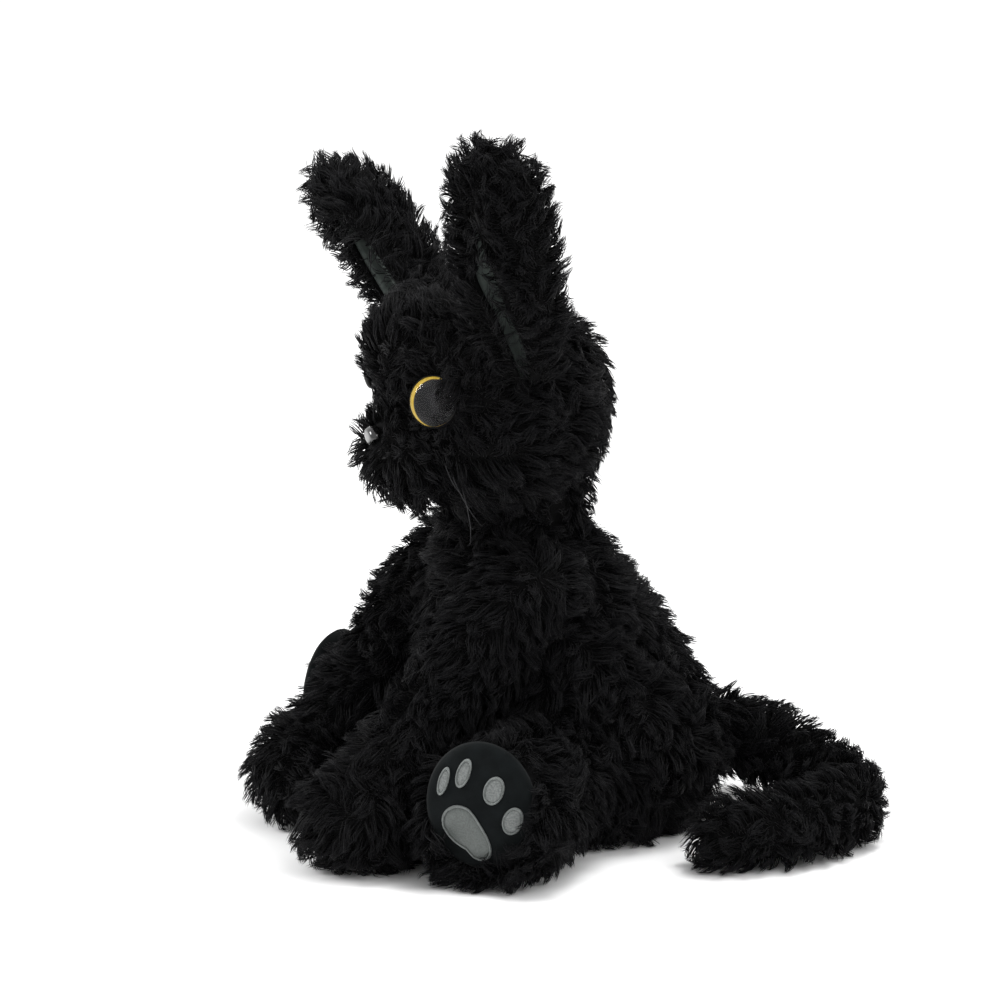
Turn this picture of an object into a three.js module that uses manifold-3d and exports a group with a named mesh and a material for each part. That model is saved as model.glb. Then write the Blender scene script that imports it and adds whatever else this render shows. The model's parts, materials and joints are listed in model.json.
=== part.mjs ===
// A sitting black plush cat, in millimetres, +Z up.
// The origin is on the floor under the body. The cat looks along -Y and its left side is +X.
import * as THREE from 'three';
import * as BufferGeometryUtils from 'three/addons/utils/BufferGeometryUtils.js';
import Module from 'manifold-3d';

const wasm = await Module();
wasm.setup();

// ---------------------------------------------------------------- driving dimensions

const FABRIC = 3.5; // thickness of the plush fabric with its pressed pile
const GAP = 0.4; // between pieces that touch
const JOINT_GAP = 1.2; // between pieces that turn against each other

const INNER_SIDES = 8; // facets round a hidden face; the outer faces have more
const INNER_RINGS = 6;
const COARSE_SAG = 5; // how far a coarse cutter's flat facets can lie inside its true round
const FLOOR_CUT = 400; // side of the block that flattens whatever is under the floor
const SOLE_CUT = { reach: 120, radius: 150 }; // the bar that cuts a leg off flat behind its sole

// Pear-shaped body: [radius, height] from the seat up, leaning forward as it rises.
const BODY_PROFILE = [
  [0, 0], [44, 0], [56, 5], [63, 18], [65, 34], [63, 52],
  [57, 72], [49, 94], [39, 116], [30, 131], [20, 138], [0, 140],
];
const BODY_SIDES = 20;
const SEAT_Y = 4;
const LEAN_FROM = 40; // the height where the back starts to lean
const LEAN = 0.27; // forward shift for each mm of height above it

const PELLET_BAG = { centre: [0, 16, 16], halves: [24, 30, 14] };

// Neck: a firm plug of stuffing, round about the vertical turning axis, with a ball on top.
const NECK = { y: -20, bottom: 112, shaft: 19, ball: 21, pivot: 150, bevel: 5 };

// Head
const HEAD = { centre: [0, -31, 190], halves: [55, 48, 46] };
const FOREHEAD = { centre: [0, -44, 213], halves: [48, 42, 29] };
const MUZZLE = { centre: [0, -66, 172], halves: [30, 23.5, 22] };

// Safety eyes, pushed through the skin and held by a washer behind it.
const EYE = { x: 35, y: -71.3, z: 203, turn: 43, lift: 12, radius: 11.5, rim: 1.3, seat: GAP + 0.2 };
// Heights above the cup's underside: its rim, the floor of its well, the iris' face and the lens' dome.
const EYE_LEVELS = { rim: 3.2, well: 1, iris: 2.2, dome: 5 };
const DOME_EDGE = 0.6; // straight edge under an eye's dome
const EYE_POST = { radius: 2.3, length: 19 };
const EYE_WASHER = { radius: 6.8, thickness: 1.5, depth: 11.5 };

const NOSE = { y: -89, z: 179, width: 12, height: 8.5, dome: 4.5, edge: 0.8 };
const NOSE_POST = { radius: 1.8, length: 17 };
const NOSE_WASHER = { radius: 5.2, thickness: 1.5, depth: 10.5 };
const WASHER_PLAY = 3; // free depth in front of a washer
const BED_DEPTH = 12; // how far in front of a fastener the skin is cut back

const WHISKER = { radius: 0.35, sides: 5, steps: 7 };
// Root on the left cheek, sag point and tip of each whisker.
const WHISKERS = [
  [[42, -66, 168], [52, -62, 158], [59, -54, 145]],
  [[43, -62, 163], [50, -57, 150], [54, -49, 137]],
  [[40, -69, 174], [50, -68, 168], [58, -63, 160]],
];

// Ears: a cupped leaf, thick fabric behind and a thin lining in front.
const EAR = {
  length: 101,
  width: 50,
  depth: 30,
  cup: 9, // how far forward the hollow lies
  back: 3.2, // thickness of the plush back
  lining: 1.6,
  bulge: 3, // how much further forward the lining's own hollow lies
  hem: 0.5, // how far the lining stays inside the leaf's edge
  base: [44, -36, 220],
};
const EAR_LEAF = [
  [0, 0], [0.6, 0.02], [0.92, 0.14], [1, 0.34], [0.99, 0.55],
  [0.88, 0.76], [0.66, 0.91], [0.35, 0.98], [0, 1],
];
const EAR_POSE = {
  left: { outward: 5, forward: 7, twist: 38 },
  right: { outward: 51, forward: 19, twist: 38 },
};
const EAR_SWING = 15;

// Arms: from the shoulder ball down to a round paw on the floor.
const ARM = {
  shoulder: [41, -27, 120],
  paw: { left: [46, -107, 24], right: [-30, -102, 24] },
  ball: 20,
  shaft: 17,
  toes: [23.2, 27.2, 24.2], // half sizes of the paw
  opening: 11, // radius of the hole that the arm is stuffed through
};

// Legs lie along the floor and end in a flat sole that faces out and forward.
const LEG = { hip: [45, -14, 33], foot: [84, -61, 31], thigh: 26, ankle: 31.2 };
const SOLE = { centre: [96, -72, 36], turn: 54, width: 52, height: 58, dome: 4, thickness: 1.6 };
// Paw print on the sole: [across, up, half width, half height] of each toe pad, and the main pad.
const TOE_PADS = [[-18.8, 7, 2.1, 5.9], [-11.5, 14, 2.8, 6], [3.5, 12, 4.1, 5.8], [15.3, 2.1, 4.1, 5.8]];
const MAIN_PAD = { across: -2, up: -10.8, halfWidth: 11.5, halfHeight: 11.3 };
const PRINT_TILT = -18; // degrees
const PRINT_THICKNESS = 0.8;
const PRINT_CUTTER = [-6, 8]; // depth range that covers the domed sole

// Tail: along the floor, curling round to the left.
const TAIL_PATH = [
  [-4, 58, 34], [2, 80, 30], [16, 97, 23], [38, 107, 17], [63, 108, 14.8],
  [86, 97, 14.6], [96, 76, 14.6], [100, 52, 14.6], [99, 40, 14.6],
];
const TAIL_RADIUS = 15;
const TAIL_SPLITS = [0, 0.36, 0.68, 1];
const TAIL_SIDES = 12;
const LIMB_SIDES = 16;
const TAIL_STEPS = 3;
const TAIL_SWING = [-5, 15, 30];
const TAIL_OPENING = 6; // radius of the hole that the tip is stuffed through
const LEG_SWING = 18;
const ARM_SWING = 45;
const ARM_SWEEP = [15, 30, 45]; // angles that the arm's room in the body is cut at
const NOD = 12;

// ---------------------------------------------------------------- materials

const material = (color, roughness, metalness = 0) =>
  new THREE.MeshStandardMaterial({ color, roughness, metalness });

const BLACK_PLUSH = material(0x0b0b0c, 0.9);
const EAR_SUEDE = material(0x2c3330, 0.85);
const SOLE_SUEDE = material(0x1d2022, 0.85);
const EMBROIDERY = material(0x7d8480, 0.6);
const FIBRE = material(0xe8e6e0, 0.95);
const PELLET_CLOTH = material(0xd8d4c8, 0.9);
const BLACK_PLASTIC = material(0x050505, 0.15);
const IRIS_GOLD = material(0xc9a53a, 0.35);
const CLEAR_PLASTIC = material(0x15171a, 0.03);
const WASHER_PLASTIC = material(0xdadada, 0.5);
const NYLON = material(0x8d8f90, 0.3);

// ---------------------------------------------------------------- solids

// A closed geometry as a manifold-3d solid, with its shared corners merged.
function solidOf(geometry) {
  const bare = geometry.clone();
  bare.deleteAttribute('normal');
  bare.deleteAttribute('uv');
  const merged = BufferGeometryUtils.mergeVertices(bare, 1e-3);
  const corners = merged.index.array;
  const kept = [];
  for (let i = 0; i < corners.length; i += 3) {
    const [a, b, c] = corners.slice(i, i + 3);
    if (a !== b && b !== c && c !== a) kept.push(a, b, c);
  }
  return new wasm.Manifold(
    new wasm.Mesh({
      numProp: 3,
      vertProperties: new Float32Array(merged.attributes.position.array),
      triVerts: new Uint32Array(kept),
    }),
  );
}

function geometryOf(solid) {
  const { vertProperties, triVerts, numProp } = solid.getMesh();
  const count = vertProperties.length / numProp;
  const places = new Float32Array(count * 3);
  for (let i = 0; i < count; i++) places.set(vertProperties.subarray(i * numProp, i * numProp + 3), i * 3);
  const geometry = new THREE.BufferGeometry();
  geometry.setAttribute('position', new THREE.BufferAttribute(places, 3));
  geometry.setIndex(new THREE.BufferAttribute(new Uint32Array(triVerts), 1));
  geometry.computeVertexNormals();
  return geometry;
}

const radians = THREE.MathUtils.degToRad;

// An ellipsoid with its poles along Z, grown by `grow` all round.
function egg({ centre, halves }, grow = 0, sides = INNER_SIDES, rings = INNER_RINGS) {
  return solidOf(
    new THREE.SphereGeometry(1, sides, rings)
      .rotateX(Math.PI / 2)
      .scale(...halves.map((half) => half + grow))
      .translate(...centre),
  );
}

const ball = (centre, radius, sides = 12, rings = 8) =>
  egg({ centre, halves: [radius, radius, radius] }, 0, sides, rings);

// A turned solid about Z from [radius, height] points that start and end on the axis.
function turnedGeometry(points, sides) {
  return new THREE.LatheGeometry(points.map(([r, z]) => new THREE.Vector2(r, z)), sides).rotateX(Math.PI / 2);
}

// A turned solid whose axis runs from one point towards another.
function turnedAlong(from, towards, points, sides = 18) {
  const way = new THREE.Vector3(...towards).sub(new THREE.Vector3(...from)).normalize();
  const turn = new THREE.Quaternion().setFromUnitVectors(new THREE.Vector3(0, 0, 1), way);
  return solidOf(turnedGeometry(points, sides).applyQuaternion(turn).translate(...from));
}

const distance = (a, b) => new THREE.Vector3(...a).distanceTo(new THREE.Vector3(...b));

// A limb with round ends, from radius r0 at one point to radius r1 at the other.
function taperedLimb(from, to, r0, r1, sides = INNER_SIDES, steps = 3) {
  const length = distance(from, to);
  const points = [];
  for (let i = 0; i <= steps; i++) {
    const angle = (i / steps) * (Math.PI / 2);
    points.push([r0 * Math.sin(angle), -r0 * Math.cos(angle)]);
  }
  for (let i = 0; i <= steps; i++) {
    const angle = (i / steps) * (Math.PI / 2);
    points.push([r1 * Math.cos(angle), length + r1 * Math.sin(angle)]);
  }
  points[0][0] = 0;
  points.at(-1)[0] = 0;
  return turnedAlong(from, to, points, sides);
}

// A bar with a round section of one radius between two points.
function bar(from, to, radius, sides = 10) {
  const length = distance(from, to);
  return turnedAlong(from, to, [[0, 0], [radius, 0], [radius, length], [0, length]], sides);
}

// Everything below the given height, as a block.
function below(height) {
  const block = new THREE.BoxGeometry(FLOOR_CUT, FLOOR_CUT, FLOOR_CUT);
  return solidOf(block.translate(0, 0, height - FLOOR_CUT / 2));
}

// ---------------------------------------------------------------- scene graph

const group = new THREE.Group();

function addSolid(name, solid, look, holder = group) {
  const mesh = new THREE.Mesh(geometryOf(solid), look);
  mesh.name = name;
  holder.add(mesh);
  return mesh;
}

// ---------------------------------------------------------------- limbs' outer forms

const mirrored = ([x, y, z], side) => [x * side, y, z];

// The arm grown by `grow`: shaft and paw, flattened at the height `floor`.
function armForm(side, grow, floor, sides = INNER_SIDES) {
  const shoulder = mirrored(ARM.shoulder, side);
  const paw = side > 0 ? ARM.paw.left : ARM.paw.right;
  const toes = { centre: paw, halves: ARM.toes };
  return taperedLimb(shoulder, paw, ARM.ball + grow, ARM.shaft + grow, sides, sides / 4)
    .add(egg(toes, grow, sides, sides * 0.6))
    .subtract(below(floor));
}

// The direction that a sole faces, level with the floor.
const soleWay = (side) => [side * Math.sin(radians(SOLE.turn)), -Math.cos(radians(SOLE.turn)), 0];

// Everything in front of the plane that lies `back` behind a sole's centre.
function beyondSole(side, back) {
  const way = new THREE.Vector3(...soleWay(side));
  const start = new THREE.Vector3(...mirrored(SOLE.centre, side)).addScaledVector(way, -back);
  const end = start.clone().addScaledVector(way, SOLE_CUT.reach);
  return bar(start.toArray(), end.toArray(), SOLE_CUT.radius, 8);
}

function legForm(side, grow, floor, sides = INNER_SIDES) {
  const hip = mirrored(LEG.hip, side);
  const foot = mirrored(LEG.foot, side);
  return taperedLimb(hip, foot, LEG.thigh + grow, LEG.ankle + grow, sides, sides / 4).subtract(below(floor));
}

// ---------------------------------------------------------------- tail's outer form

const tailPoints = TAIL_PATH.map((p) => new THREE.Vector3(...p));
const tailCurve = new THREE.CatmullRomCurve3(tailPoints, false, 'centripetal');

// One stretch of the tail's centre line, as a curve of its own.
function tailStretch(index) {
  const points = [];
  for (let i = 0; i <= TAIL_STEPS; i++) {
    const t = THREE.MathUtils.lerp(TAIL_SPLITS[index], TAIL_SPLITS[index + 1], i / TAIL_STEPS);
    points.push(tailCurve.getPointAt(t));
  }
  return new THREE.CatmullRomCurve3(points);
}

const tailJoint = (index) => tailCurve.getPointAt(TAIL_SPLITS[index]).toArray();

function tube(curve, radius, sides, steps) {
  const section = new THREE.Shape();
  for (let i = 0; i < sides; i++) {
    const angle = (i / sides) * 2 * Math.PI;
    const place = [radius * Math.cos(angle), radius * Math.sin(angle)];
    if (i === 0) section.moveTo(...place);
    else section.lineTo(...place);
  }
  section.closePath();
  return solidOf(new THREE.ExtrudeGeometry(section, { steps, extrudePath: curve, bevelEnabled: false }));
}

// A tail stretch with a round start, grown by `grow`, with room for the next stretch at its end.
function tailForm(index, grow, room, sides = 8) {
  const last = index === TAIL_SPLITS.length - 2;
  const rings = sides / 2 + 1;
  let form = tube(tailStretch(index), TAIL_RADIUS + grow, sides, TAIL_STEPS)
    .add(ball(tailJoint(index), TAIL_RADIUS + grow, sides, rings));
  if (last) form = form.add(ball(tailJoint(index + 1), TAIL_RADIUS + grow, sides, rings));
  else form = form.subtract(ball(tailJoint(index + 1), TAIL_RADIUS + room));
  return form.subtract(below(Math.max(0, -grow)));
}

// ---------------------------------------------------------------- body

function bodyForm(grow, sides = INNER_SIDES) {
  const outline = BODY_PROFILE.map(([r, z]) => [r === 0 ? 0 : r + grow, z]);
  const geometry = turnedGeometry(outline, sides);
  const place = geometry.attributes.position;
  const top = BODY_PROFILE.at(-1)[1];
  for (let i = 0; i < place.count; i++) {
    const height = place.getZ(i);
    const shift = SEAT_Y - LEAN * Math.max(0, height - LEAN_FROM);
    place.setY(i, place.getY(i) + shift);
    place.setZ(i, height * ((top + 2 * grow) / top) - grow);
  }
  return solidOf(geometry);
}

const neckPivot = [0, NECK.y, NECK.pivot];

// The neck plug grown by `grow`, round about the vertical axis through the neck.
function neckForm(grow) {
  const shaft = NECK.shaft + grow;
  const top = NECK.pivot;
  const points = [
    [0, NECK.bottom - grow], [shaft - NECK.bevel, NECK.bottom - grow], [shaft, NECK.bottom + NECK.bevel],
    [shaft, top], [0, top],
  ];
  return turnedAlong([0, NECK.y, 0], [0, NECK.y, 1], points, 16).add(ball(neckPivot, NECK.ball + grow));
}

// What the limbs, the neck and the tail need to turn in, for a limb grown by `room`.
function bodySockets(room, sides) {
  let sockets = neckForm(room).add(ball(tailJoint(0), TAIL_RADIUS + room));
  for (const side of [1, -1]) {
    sockets = sockets
      .add(sweep(armForm(side, room, -room, sides), mirrored(ARM.shoulder, side), [-1, 0, 0], ARM_SWEEP))
      .add(sweep(legForm(side, room, -room, sides), mirrored(LEG.hip, side), [0, 0, side], [LEG_SWING]));
  }
  return sockets;
}

// A solid turned by degrees about an axis through a point.
function turnAbout(solid, point, axis, degrees) {
  const turn = new THREE.Matrix4().makeRotationAxis(new THREE.Vector3(...axis).normalize(), radians(degrees));
  const matrix = new THREE.Matrix4()
    .makeTranslation(...point)
    .multiply(turn)
    .multiply(new THREE.Matrix4().makeTranslation(...point.map((v) => -v)));
  return solid.transform(matrix.elements);
}

function addBody() {
  const inside = bodyForm(-FABRIC);
  const bag = egg(PELLET_BAG).subtract(below(FABRIC + GAP));
  const tailRoom = sweep(tailForm(0, JOINT_GAP, 0), tailJoint(0), [0, 0, 1], TAIL_SWING);
  const room = bodySockets(JOINT_GAP, LIMB_SIDES).add(tailRoom);
  addSolid('body_skin', bodyForm(0, BODY_SIDES).subtract(inside).subtract(room), BLACK_PLUSH);
  addSolid(
    'body_stuffing',
    bodyForm(-FABRIC - GAP).subtract(bodySockets(JOINT_GAP + COARSE_SAG, INNER_SIDES).add(tailRoom))
      .subtract(egg(PELLET_BAG, GAP)).subtract(below(FABRIC + GAP)),
    FIBRE,
  );
  addSolid('pellet_bag', bag, PELLET_CLOTH);
  addSolid('neck_stuffing', neckForm(0), FIBRE);
}

// The space that a solid sweeps as it turns to each of the given angles.
function sweep(solid, point, axis, angles) {
  let swept = solid;
  for (const angle of angles) swept = swept.add(turnAbout(solid, point, axis, angle));
  return swept;
}

// ---------------------------------------------------------------- arms, legs and tail

function addArm(name, side) {
  const outer = armForm(side, 0, 0, LIMB_SIDES);
  const shoulder = mirrored(ARM.shoulder, side);
  const inwards = [shoulder[0] - side * 2 * ARM.ball, shoulder[1], shoulder[2]];
  const hole = bar(shoulder, inwards, ARM.opening);
  const skin = outer.subtract(armForm(side, -FABRIC, FABRIC)).subtract(hole);
  addSolid(`${name}_arm_skin`, skin, BLACK_PLUSH);
  addSolid(`${name}_arm_stuffing`, armForm(side, -FABRIC - GAP, FABRIC + GAP), FIBRE);
}

function addLeg(name, side) {
  const skin = legForm(side, 0, 0, LIMB_SIDES)
    .subtract(legForm(side, -FABRIC, FABRIC))
    .subtract(beyondSole(side, 0));
  addSolid(`${name}_leg_skin`, skin, BLACK_PLUSH);
  const stuffing = legForm(side, -FABRIC - GAP, FABRIC + GAP).subtract(beyondSole(side, GAP));
  addSolid(`${name}_leg_stuffing`, stuffing, FIBRE);
  addSole(name, side);
}

// A sole's own frame: +Z out of the sole, +Y up, and X across it.
function soleHolder(side) {
  const holder = new THREE.Group();
  holder.position.set(...mirrored(SOLE.centre, side));
  holder.rotation.order = 'ZYX';
  holder.rotation.set(Math.PI / 2, 0, side * radians(SOLE.turn));
  group.add(holder);
  return holder;
}

// A domed disc: the sole itself, `lift` above the leg's cut face.
function soleForm(lift, grow) {
  const rings = 3;
  const points = [[0, lift], [1, lift]];
  for (let i = 0; i <= rings; i++) {
    const r = 1 - i / rings;
    points.push([r, lift + SOLE.thickness + SOLE.dome * (1 - r * r)]);
  }
  const geometry = turnedGeometry(points, 20).scale(SOLE.width / 2 + grow, SOLE.height / 2 + grow, 1);
  return solidOf(geometry);
}

function addSole(name, side) {
  const holder = soleHolder(side);
  const block = new THREE.BoxGeometry(FLOOR_CUT, FLOOR_CUT, FLOOR_CUT);
  const floorInHolder = solidOf(block.translate(0, -SOLE.centre[2] - FLOOR_CUT / 2, 0));
  addSolid(`${name}_sole`, soleForm(GAP, 0).subtract(floorInHolder), SOLE_SUEDE, holder);
  const [low, high] = PRINT_CUTTER;
  const print = (across, up, halfWidth, halfHeight) => {
    const tilt = radians(side * PRINT_TILT);
    const x = side * across;
    const u = x * Math.cos(tilt) - up * Math.sin(tilt);
    const v = x * Math.sin(tilt) + up * Math.cos(tilt);
    return solidOf(
      turnedGeometry([[0, low], [1, low], [1, high], [0, high]], 10)
        .scale(halfWidth, halfHeight, 1)
        .rotateZ(tilt)
        .translate(u, v, 0),
    );
  };
  const layer = soleForm(2 * GAP, 0).translate(0, 0, PRINT_THICKNESS).subtract(soleForm(2 * GAP, 2));
  TOE_PADS.forEach(([across, up, halfWidth, halfHeight], i) => {
    const toe = print(across, up, halfWidth, halfHeight).intersect(layer);
    addSolid(`${name}_toe_pad_${i + 1}`, toe, EMBROIDERY, holder);
  });
  const pad = print(MAIN_PAD.across, MAIN_PAD.up, MAIN_PAD.halfWidth, MAIN_PAD.halfHeight);
  addSolid(`${name}_main_pad`, pad.intersect(layer), EMBROIDERY, holder);
}

function addTail() {
  for (let i = 0; i < TAIL_SPLITS.length - 1; i++) {
    const last = i === TAIL_SPLITS.length - 2;
    let hollow = tube(tailStretch(i), TAIL_RADIUS - FABRIC, 8, TAIL_STEPS)
      .add(ball(tailJoint(i), TAIL_RADIUS - FABRIC, 8, 5));
    if (last) {
      hollow = hollow.add(ball(tailJoint(i + 1), TAIL_RADIUS - FABRIC, 8, 5));
      const start = new THREE.Vector3(...tailJoint(i));
      const way = tailCurve.getTangentAt(TAIL_SPLITS[i]);
      const back = start.clone().addScaledVector(way, -TAIL_RADIUS - FABRIC);
      hollow = hollow.add(bar(start.toArray(), back.toArray(), TAIL_OPENING));
    }
    addSolid(`tail_${i + 1}_skin`, tailForm(i, 0, JOINT_GAP, TAIL_SIDES).subtract(hollow), BLACK_PLUSH);
    const stuffing = tailForm(i, -FABRIC - GAP, JOINT_GAP);
    addSolid(`tail_${i + 1}_stuffing`, stuffing, FIBRE);
  }
}

// ---------------------------------------------------------------- ears

// The leaf shape of an ear: rounded at the tip, narrowing to the sewn base, grown by `grow`.
function leafForm(grow, sides = 12) {
  const geometry = turnedGeometry(EAR_LEAF, sides)
    .scale(EAR.width / 2 + grow, EAR.depth / 2 + grow, EAR.length + 2 * grow)
    .translate(0, 0, -grow);
  return solidOf(geometry);
}

// The cupped shell of an ear: a leaf hollowed by the same leaf shrunk and moved forward.
function earShell() {
  return leafForm(0).subtract(leafForm(-EAR.back).translate(0, -EAR.cup, 0));
}

function earMatrix(name, side) {
  const { outward, forward, twist } = EAR_POSE[name];
  const turn = new THREE.Matrix4().makeRotationFromEuler(
    new THREE.Euler(radians(forward), side * radians(outward), side * radians(twist), 'YXZ'),
  );
  return new THREE.Matrix4().makeTranslation(...mirrored(EAR.base, side)).multiply(turn);
}

// The level axis across an ear's base, about which the ear folds.
function earAxis(name, side) {
  const across = new THREE.Vector3(1, 0, 0).transformDirection(earMatrix(name, side));
  return [across.x, across.y, 0];
}

function addEar(name, side) {
  const matrix = earMatrix(name, side).elements;
  const back = earShell().transform(matrix);
  const front = leafForm(-EAR.back - GAP)
    .translate(0, -EAR.cup, 0)
    .subtract(leafForm(-EAR.back - GAP - EAR.lining).translate(0, -EAR.cup - EAR.bulge, 0))
    .intersect(leafForm(-EAR.hem))
    .transform(matrix);
  addSolid(`${name}_ear_back`, back, BLACK_PLUSH);
  addSolid(`${name}_ear_lining`, front, EAR_SUEDE);
}

// The pocket in the head that an ear's base turns in.
function earPocket(name, side) {
  const ear = leafForm(JOINT_GAP + EAR.hem, 8).transform(earMatrix(name, side).elements);
  const pivot = mirrored(EAR.base, side);
  return sweep(ear, pivot, earAxis(name, side), [-EAR_SWING, EAR_SWING]);
}

// ---------------------------------------------------------------- head

function headForm(grow, sides = INNER_SIDES) {
  const rings = sides * 0.6;
  return egg(HEAD, grow, sides, rings)
    .add(egg(FOREHEAD, grow, sides, rings))
    .add(egg(MUZZLE, grow, sides, rings));
}

function eyeHolder(side) {
  const holder = new THREE.Group();
  holder.position.set(side * EYE.x, EYE.y, EYE.z);
  holder.rotation.order = 'ZXY';
  holder.rotation.set(Math.PI / 2 - radians(EYE.lift), 0, side * radians(EYE.turn));
  group.add(holder);
  holder.updateMatrixWorld(true);
  return holder;
}

function noseHolder() {
  const holder = new THREE.Group();
  holder.position.set(0, NOSE.y, NOSE.z);
  holder.rotation.set(Math.PI / 2, 0, 0);
  group.add(holder);
  holder.updateMatrixWorld(true);
  return holder;
}

// A flat ring about Z.
function ring(outer, inner, low, high) {
  const points = [[inner, low], [outer, low], [outer, high], [inner, high], [inner, low]];
  return solidOf(turnedGeometry(points, 14));
}

const disc = (radius, low, high, sides = 16) =>
  solidOf(turnedGeometry([[0, low], [radius, low], [radius, high], [0, high]], sides));

// A shallow dome on a flat round face.
function dome(radius, low, height, edge) {
  const steps = 4;
  const points = [[0, low], [radius, low]];
  for (let i = 0; i < steps; i++) {
    const angle = (i / steps) * (Math.PI / 2);
    points.push([radius * Math.cos(angle), low + edge + (height - edge) * Math.sin(angle)]);
  }
  points.push([0, low + height]);
  return solidOf(turnedGeometry(points, 16));
}

// What a fastener needs inside the head: a hole for its post and a pocket for its washer.
function fastenerRoom(holder, post, washer) {
  return disc(post.radius + GAP, -post.length - GAP, 2, 8)
    .add(disc(washer.radius + GAP, -washer.depth - washer.thickness - GAP, -washer.depth + WASHER_PLAY))
    .transform(holder.matrixWorld.elements);
}

function addEye(name, holder) {
  const { seat } = EYE;
  const { rim, well, iris, dome: height } = EYE_LEVELS;
  const wellRadius = EYE.radius - EYE.rim;
  const cup = disc(EYE.radius, seat, seat + rim)
    .subtract(disc(wellRadius, seat + well, seat + rim + GAP))
    .add(disc(EYE_POST.radius, -EYE_POST.length, seat + well / 2, 8));
  addSolid(`${name}_eye_cup`, cup, BLACK_PLASTIC, holder);
  addSolid(`${name}_eye_iris`, disc(wellRadius - GAP, seat + well + GAP, seat + iris), IRIS_GOLD, holder);
  const lens = dome(wellRadius - GAP, seat + iris + GAP, height, DOME_EDGE);
  addSolid(`${name}_eye_lens`, lens, CLEAR_PLASTIC, holder);
  addWasher(`${name}_eye_washer`, EYE_WASHER, EYE_POST, holder);
}

function addWasher(name, washer, post, holder) {
  const low = -washer.depth - washer.thickness;
  addSolid(name, ring(washer.radius, post.radius + GAP, low, -washer.depth), WASHER_PLASTIC, holder);
}

function addNose(holder) {
  const button = dome(1, 0, NOSE.dome, NOSE.edge).transform(
    new THREE.Matrix4().makeScale(NOSE.width / 2, NOSE.height / 2, 1).elements,
  );
  const post = disc(NOSE_POST.radius, -NOSE_POST.length, 1, 8);
  addSolid('nose', button.translate(0, 0, GAP).add(post), BLACK_PLASTIC, holder);
  addWasher('nose_washer', NOSE_WASHER, NOSE_POST, holder);
}

function addWhiskers(name, side) {
  WHISKERS.forEach((points, i) => {
    const curve = new THREE.CatmullRomCurve3(points.map((p) => new THREE.Vector3(...mirrored(p, side))));
    const root = curve.getPoint(0);
    const hair = tube(curve, WHISKER.radius, WHISKER.sides, WHISKER.steps);
    const clear = hair.subtract(headForm(GAP)).subtract(ball(root.toArray(), 1));
    addSolid(`${name}_whisker_${i + 1}`, clear, NYLON);
  });
}

function addHead() {
  const eyes = { left: eyeHolder(1), right: eyeHolder(-1) };
  const nose = noseHolder();
  const neckRoom = ball(neckPivot, NECK.ball + JOINT_GAP)
    .add(sweep(neckForm(JOINT_GAP), neckPivot, [1, 0, 0], [-NOD, NOD]))
    .add(sweep(bodyForm(JOINT_GAP, BODY_SIDES), neckPivot, [1, 0, 0], [-NOD, NOD]));
  let room = neckRoom.add(fastenerRoom(nose, NOSE_POST, NOSE_WASHER));
  for (const holder of Object.values(eyes)) room = room.add(fastenerRoom(holder, EYE_POST, EYE_WASHER));
  room = room.add(earPocket('left', 1)).add(earPocket('right', -1));
  let holes = neckRoom.add(earPocket('left', 1)).add(earPocket('right', -1));
  for (const [holder, post, seat] of [
    [eyes.left, EYE_POST, EYE.radius], [eyes.right, EYE_POST, EYE.radius], [nose, NOSE_POST, NOSE.width / 2],
  ]) {
    const bed = disc(seat + GAP, 0, BED_DEPTH).add(disc(post.radius + GAP, -post.length, 1, 8));
    holes = holes.add(bed.transform(holder.matrixWorld.elements));
  }
  addSolid('head_skin', headForm(0, BODY_SIDES).subtract(headForm(-FABRIC, 12)).subtract(holes), BLACK_PLUSH);
  addSolid('head_stuffing', headForm(-FABRIC - GAP, 12).subtract(room), FIBRE);
  addEye('left', eyes.left);
  addEye('right', eyes.right);
  addNose(nose);
}

// ---------------------------------------------------------------- the cat

addBody();
addHead();
for (const [name, side] of [['left', 1], ['right', -1]]) {
  addEar(name, side);
  addWhiskers(name, side);
  addArm(name, side);
  addLeg(name, side);
}
addTail();

export default group;
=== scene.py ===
import json
import math

import bmesh
import bpy
import numpy as np
from mathutils import Matrix, Vector
from mathutils.bvhtree import BVHTree
from mathutils.kdtree import KDTree


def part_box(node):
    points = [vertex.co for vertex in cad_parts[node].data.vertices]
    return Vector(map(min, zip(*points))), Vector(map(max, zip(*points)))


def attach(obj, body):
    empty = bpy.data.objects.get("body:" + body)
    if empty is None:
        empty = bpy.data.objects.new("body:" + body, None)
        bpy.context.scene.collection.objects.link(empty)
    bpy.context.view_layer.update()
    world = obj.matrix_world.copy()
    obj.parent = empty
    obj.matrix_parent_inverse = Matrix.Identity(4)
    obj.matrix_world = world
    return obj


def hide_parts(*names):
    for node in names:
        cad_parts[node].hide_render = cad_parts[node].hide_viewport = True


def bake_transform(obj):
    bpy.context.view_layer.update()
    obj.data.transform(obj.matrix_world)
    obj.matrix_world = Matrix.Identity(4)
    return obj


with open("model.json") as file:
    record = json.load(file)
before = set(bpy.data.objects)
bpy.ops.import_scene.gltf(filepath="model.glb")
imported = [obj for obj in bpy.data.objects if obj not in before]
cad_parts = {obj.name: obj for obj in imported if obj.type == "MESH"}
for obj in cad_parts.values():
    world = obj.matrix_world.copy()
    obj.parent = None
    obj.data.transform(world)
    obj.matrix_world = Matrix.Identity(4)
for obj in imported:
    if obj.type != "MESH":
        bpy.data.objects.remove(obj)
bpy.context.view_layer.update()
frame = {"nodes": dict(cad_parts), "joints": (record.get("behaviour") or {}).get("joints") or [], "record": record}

# The sitting plush cat: padded fabric bases under modelled fur, suede soles with satin-stitched prints,
# safety eyes, a nose button, nylon whiskers, and a pale studio. Metres, in the frame's own axes.

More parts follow.
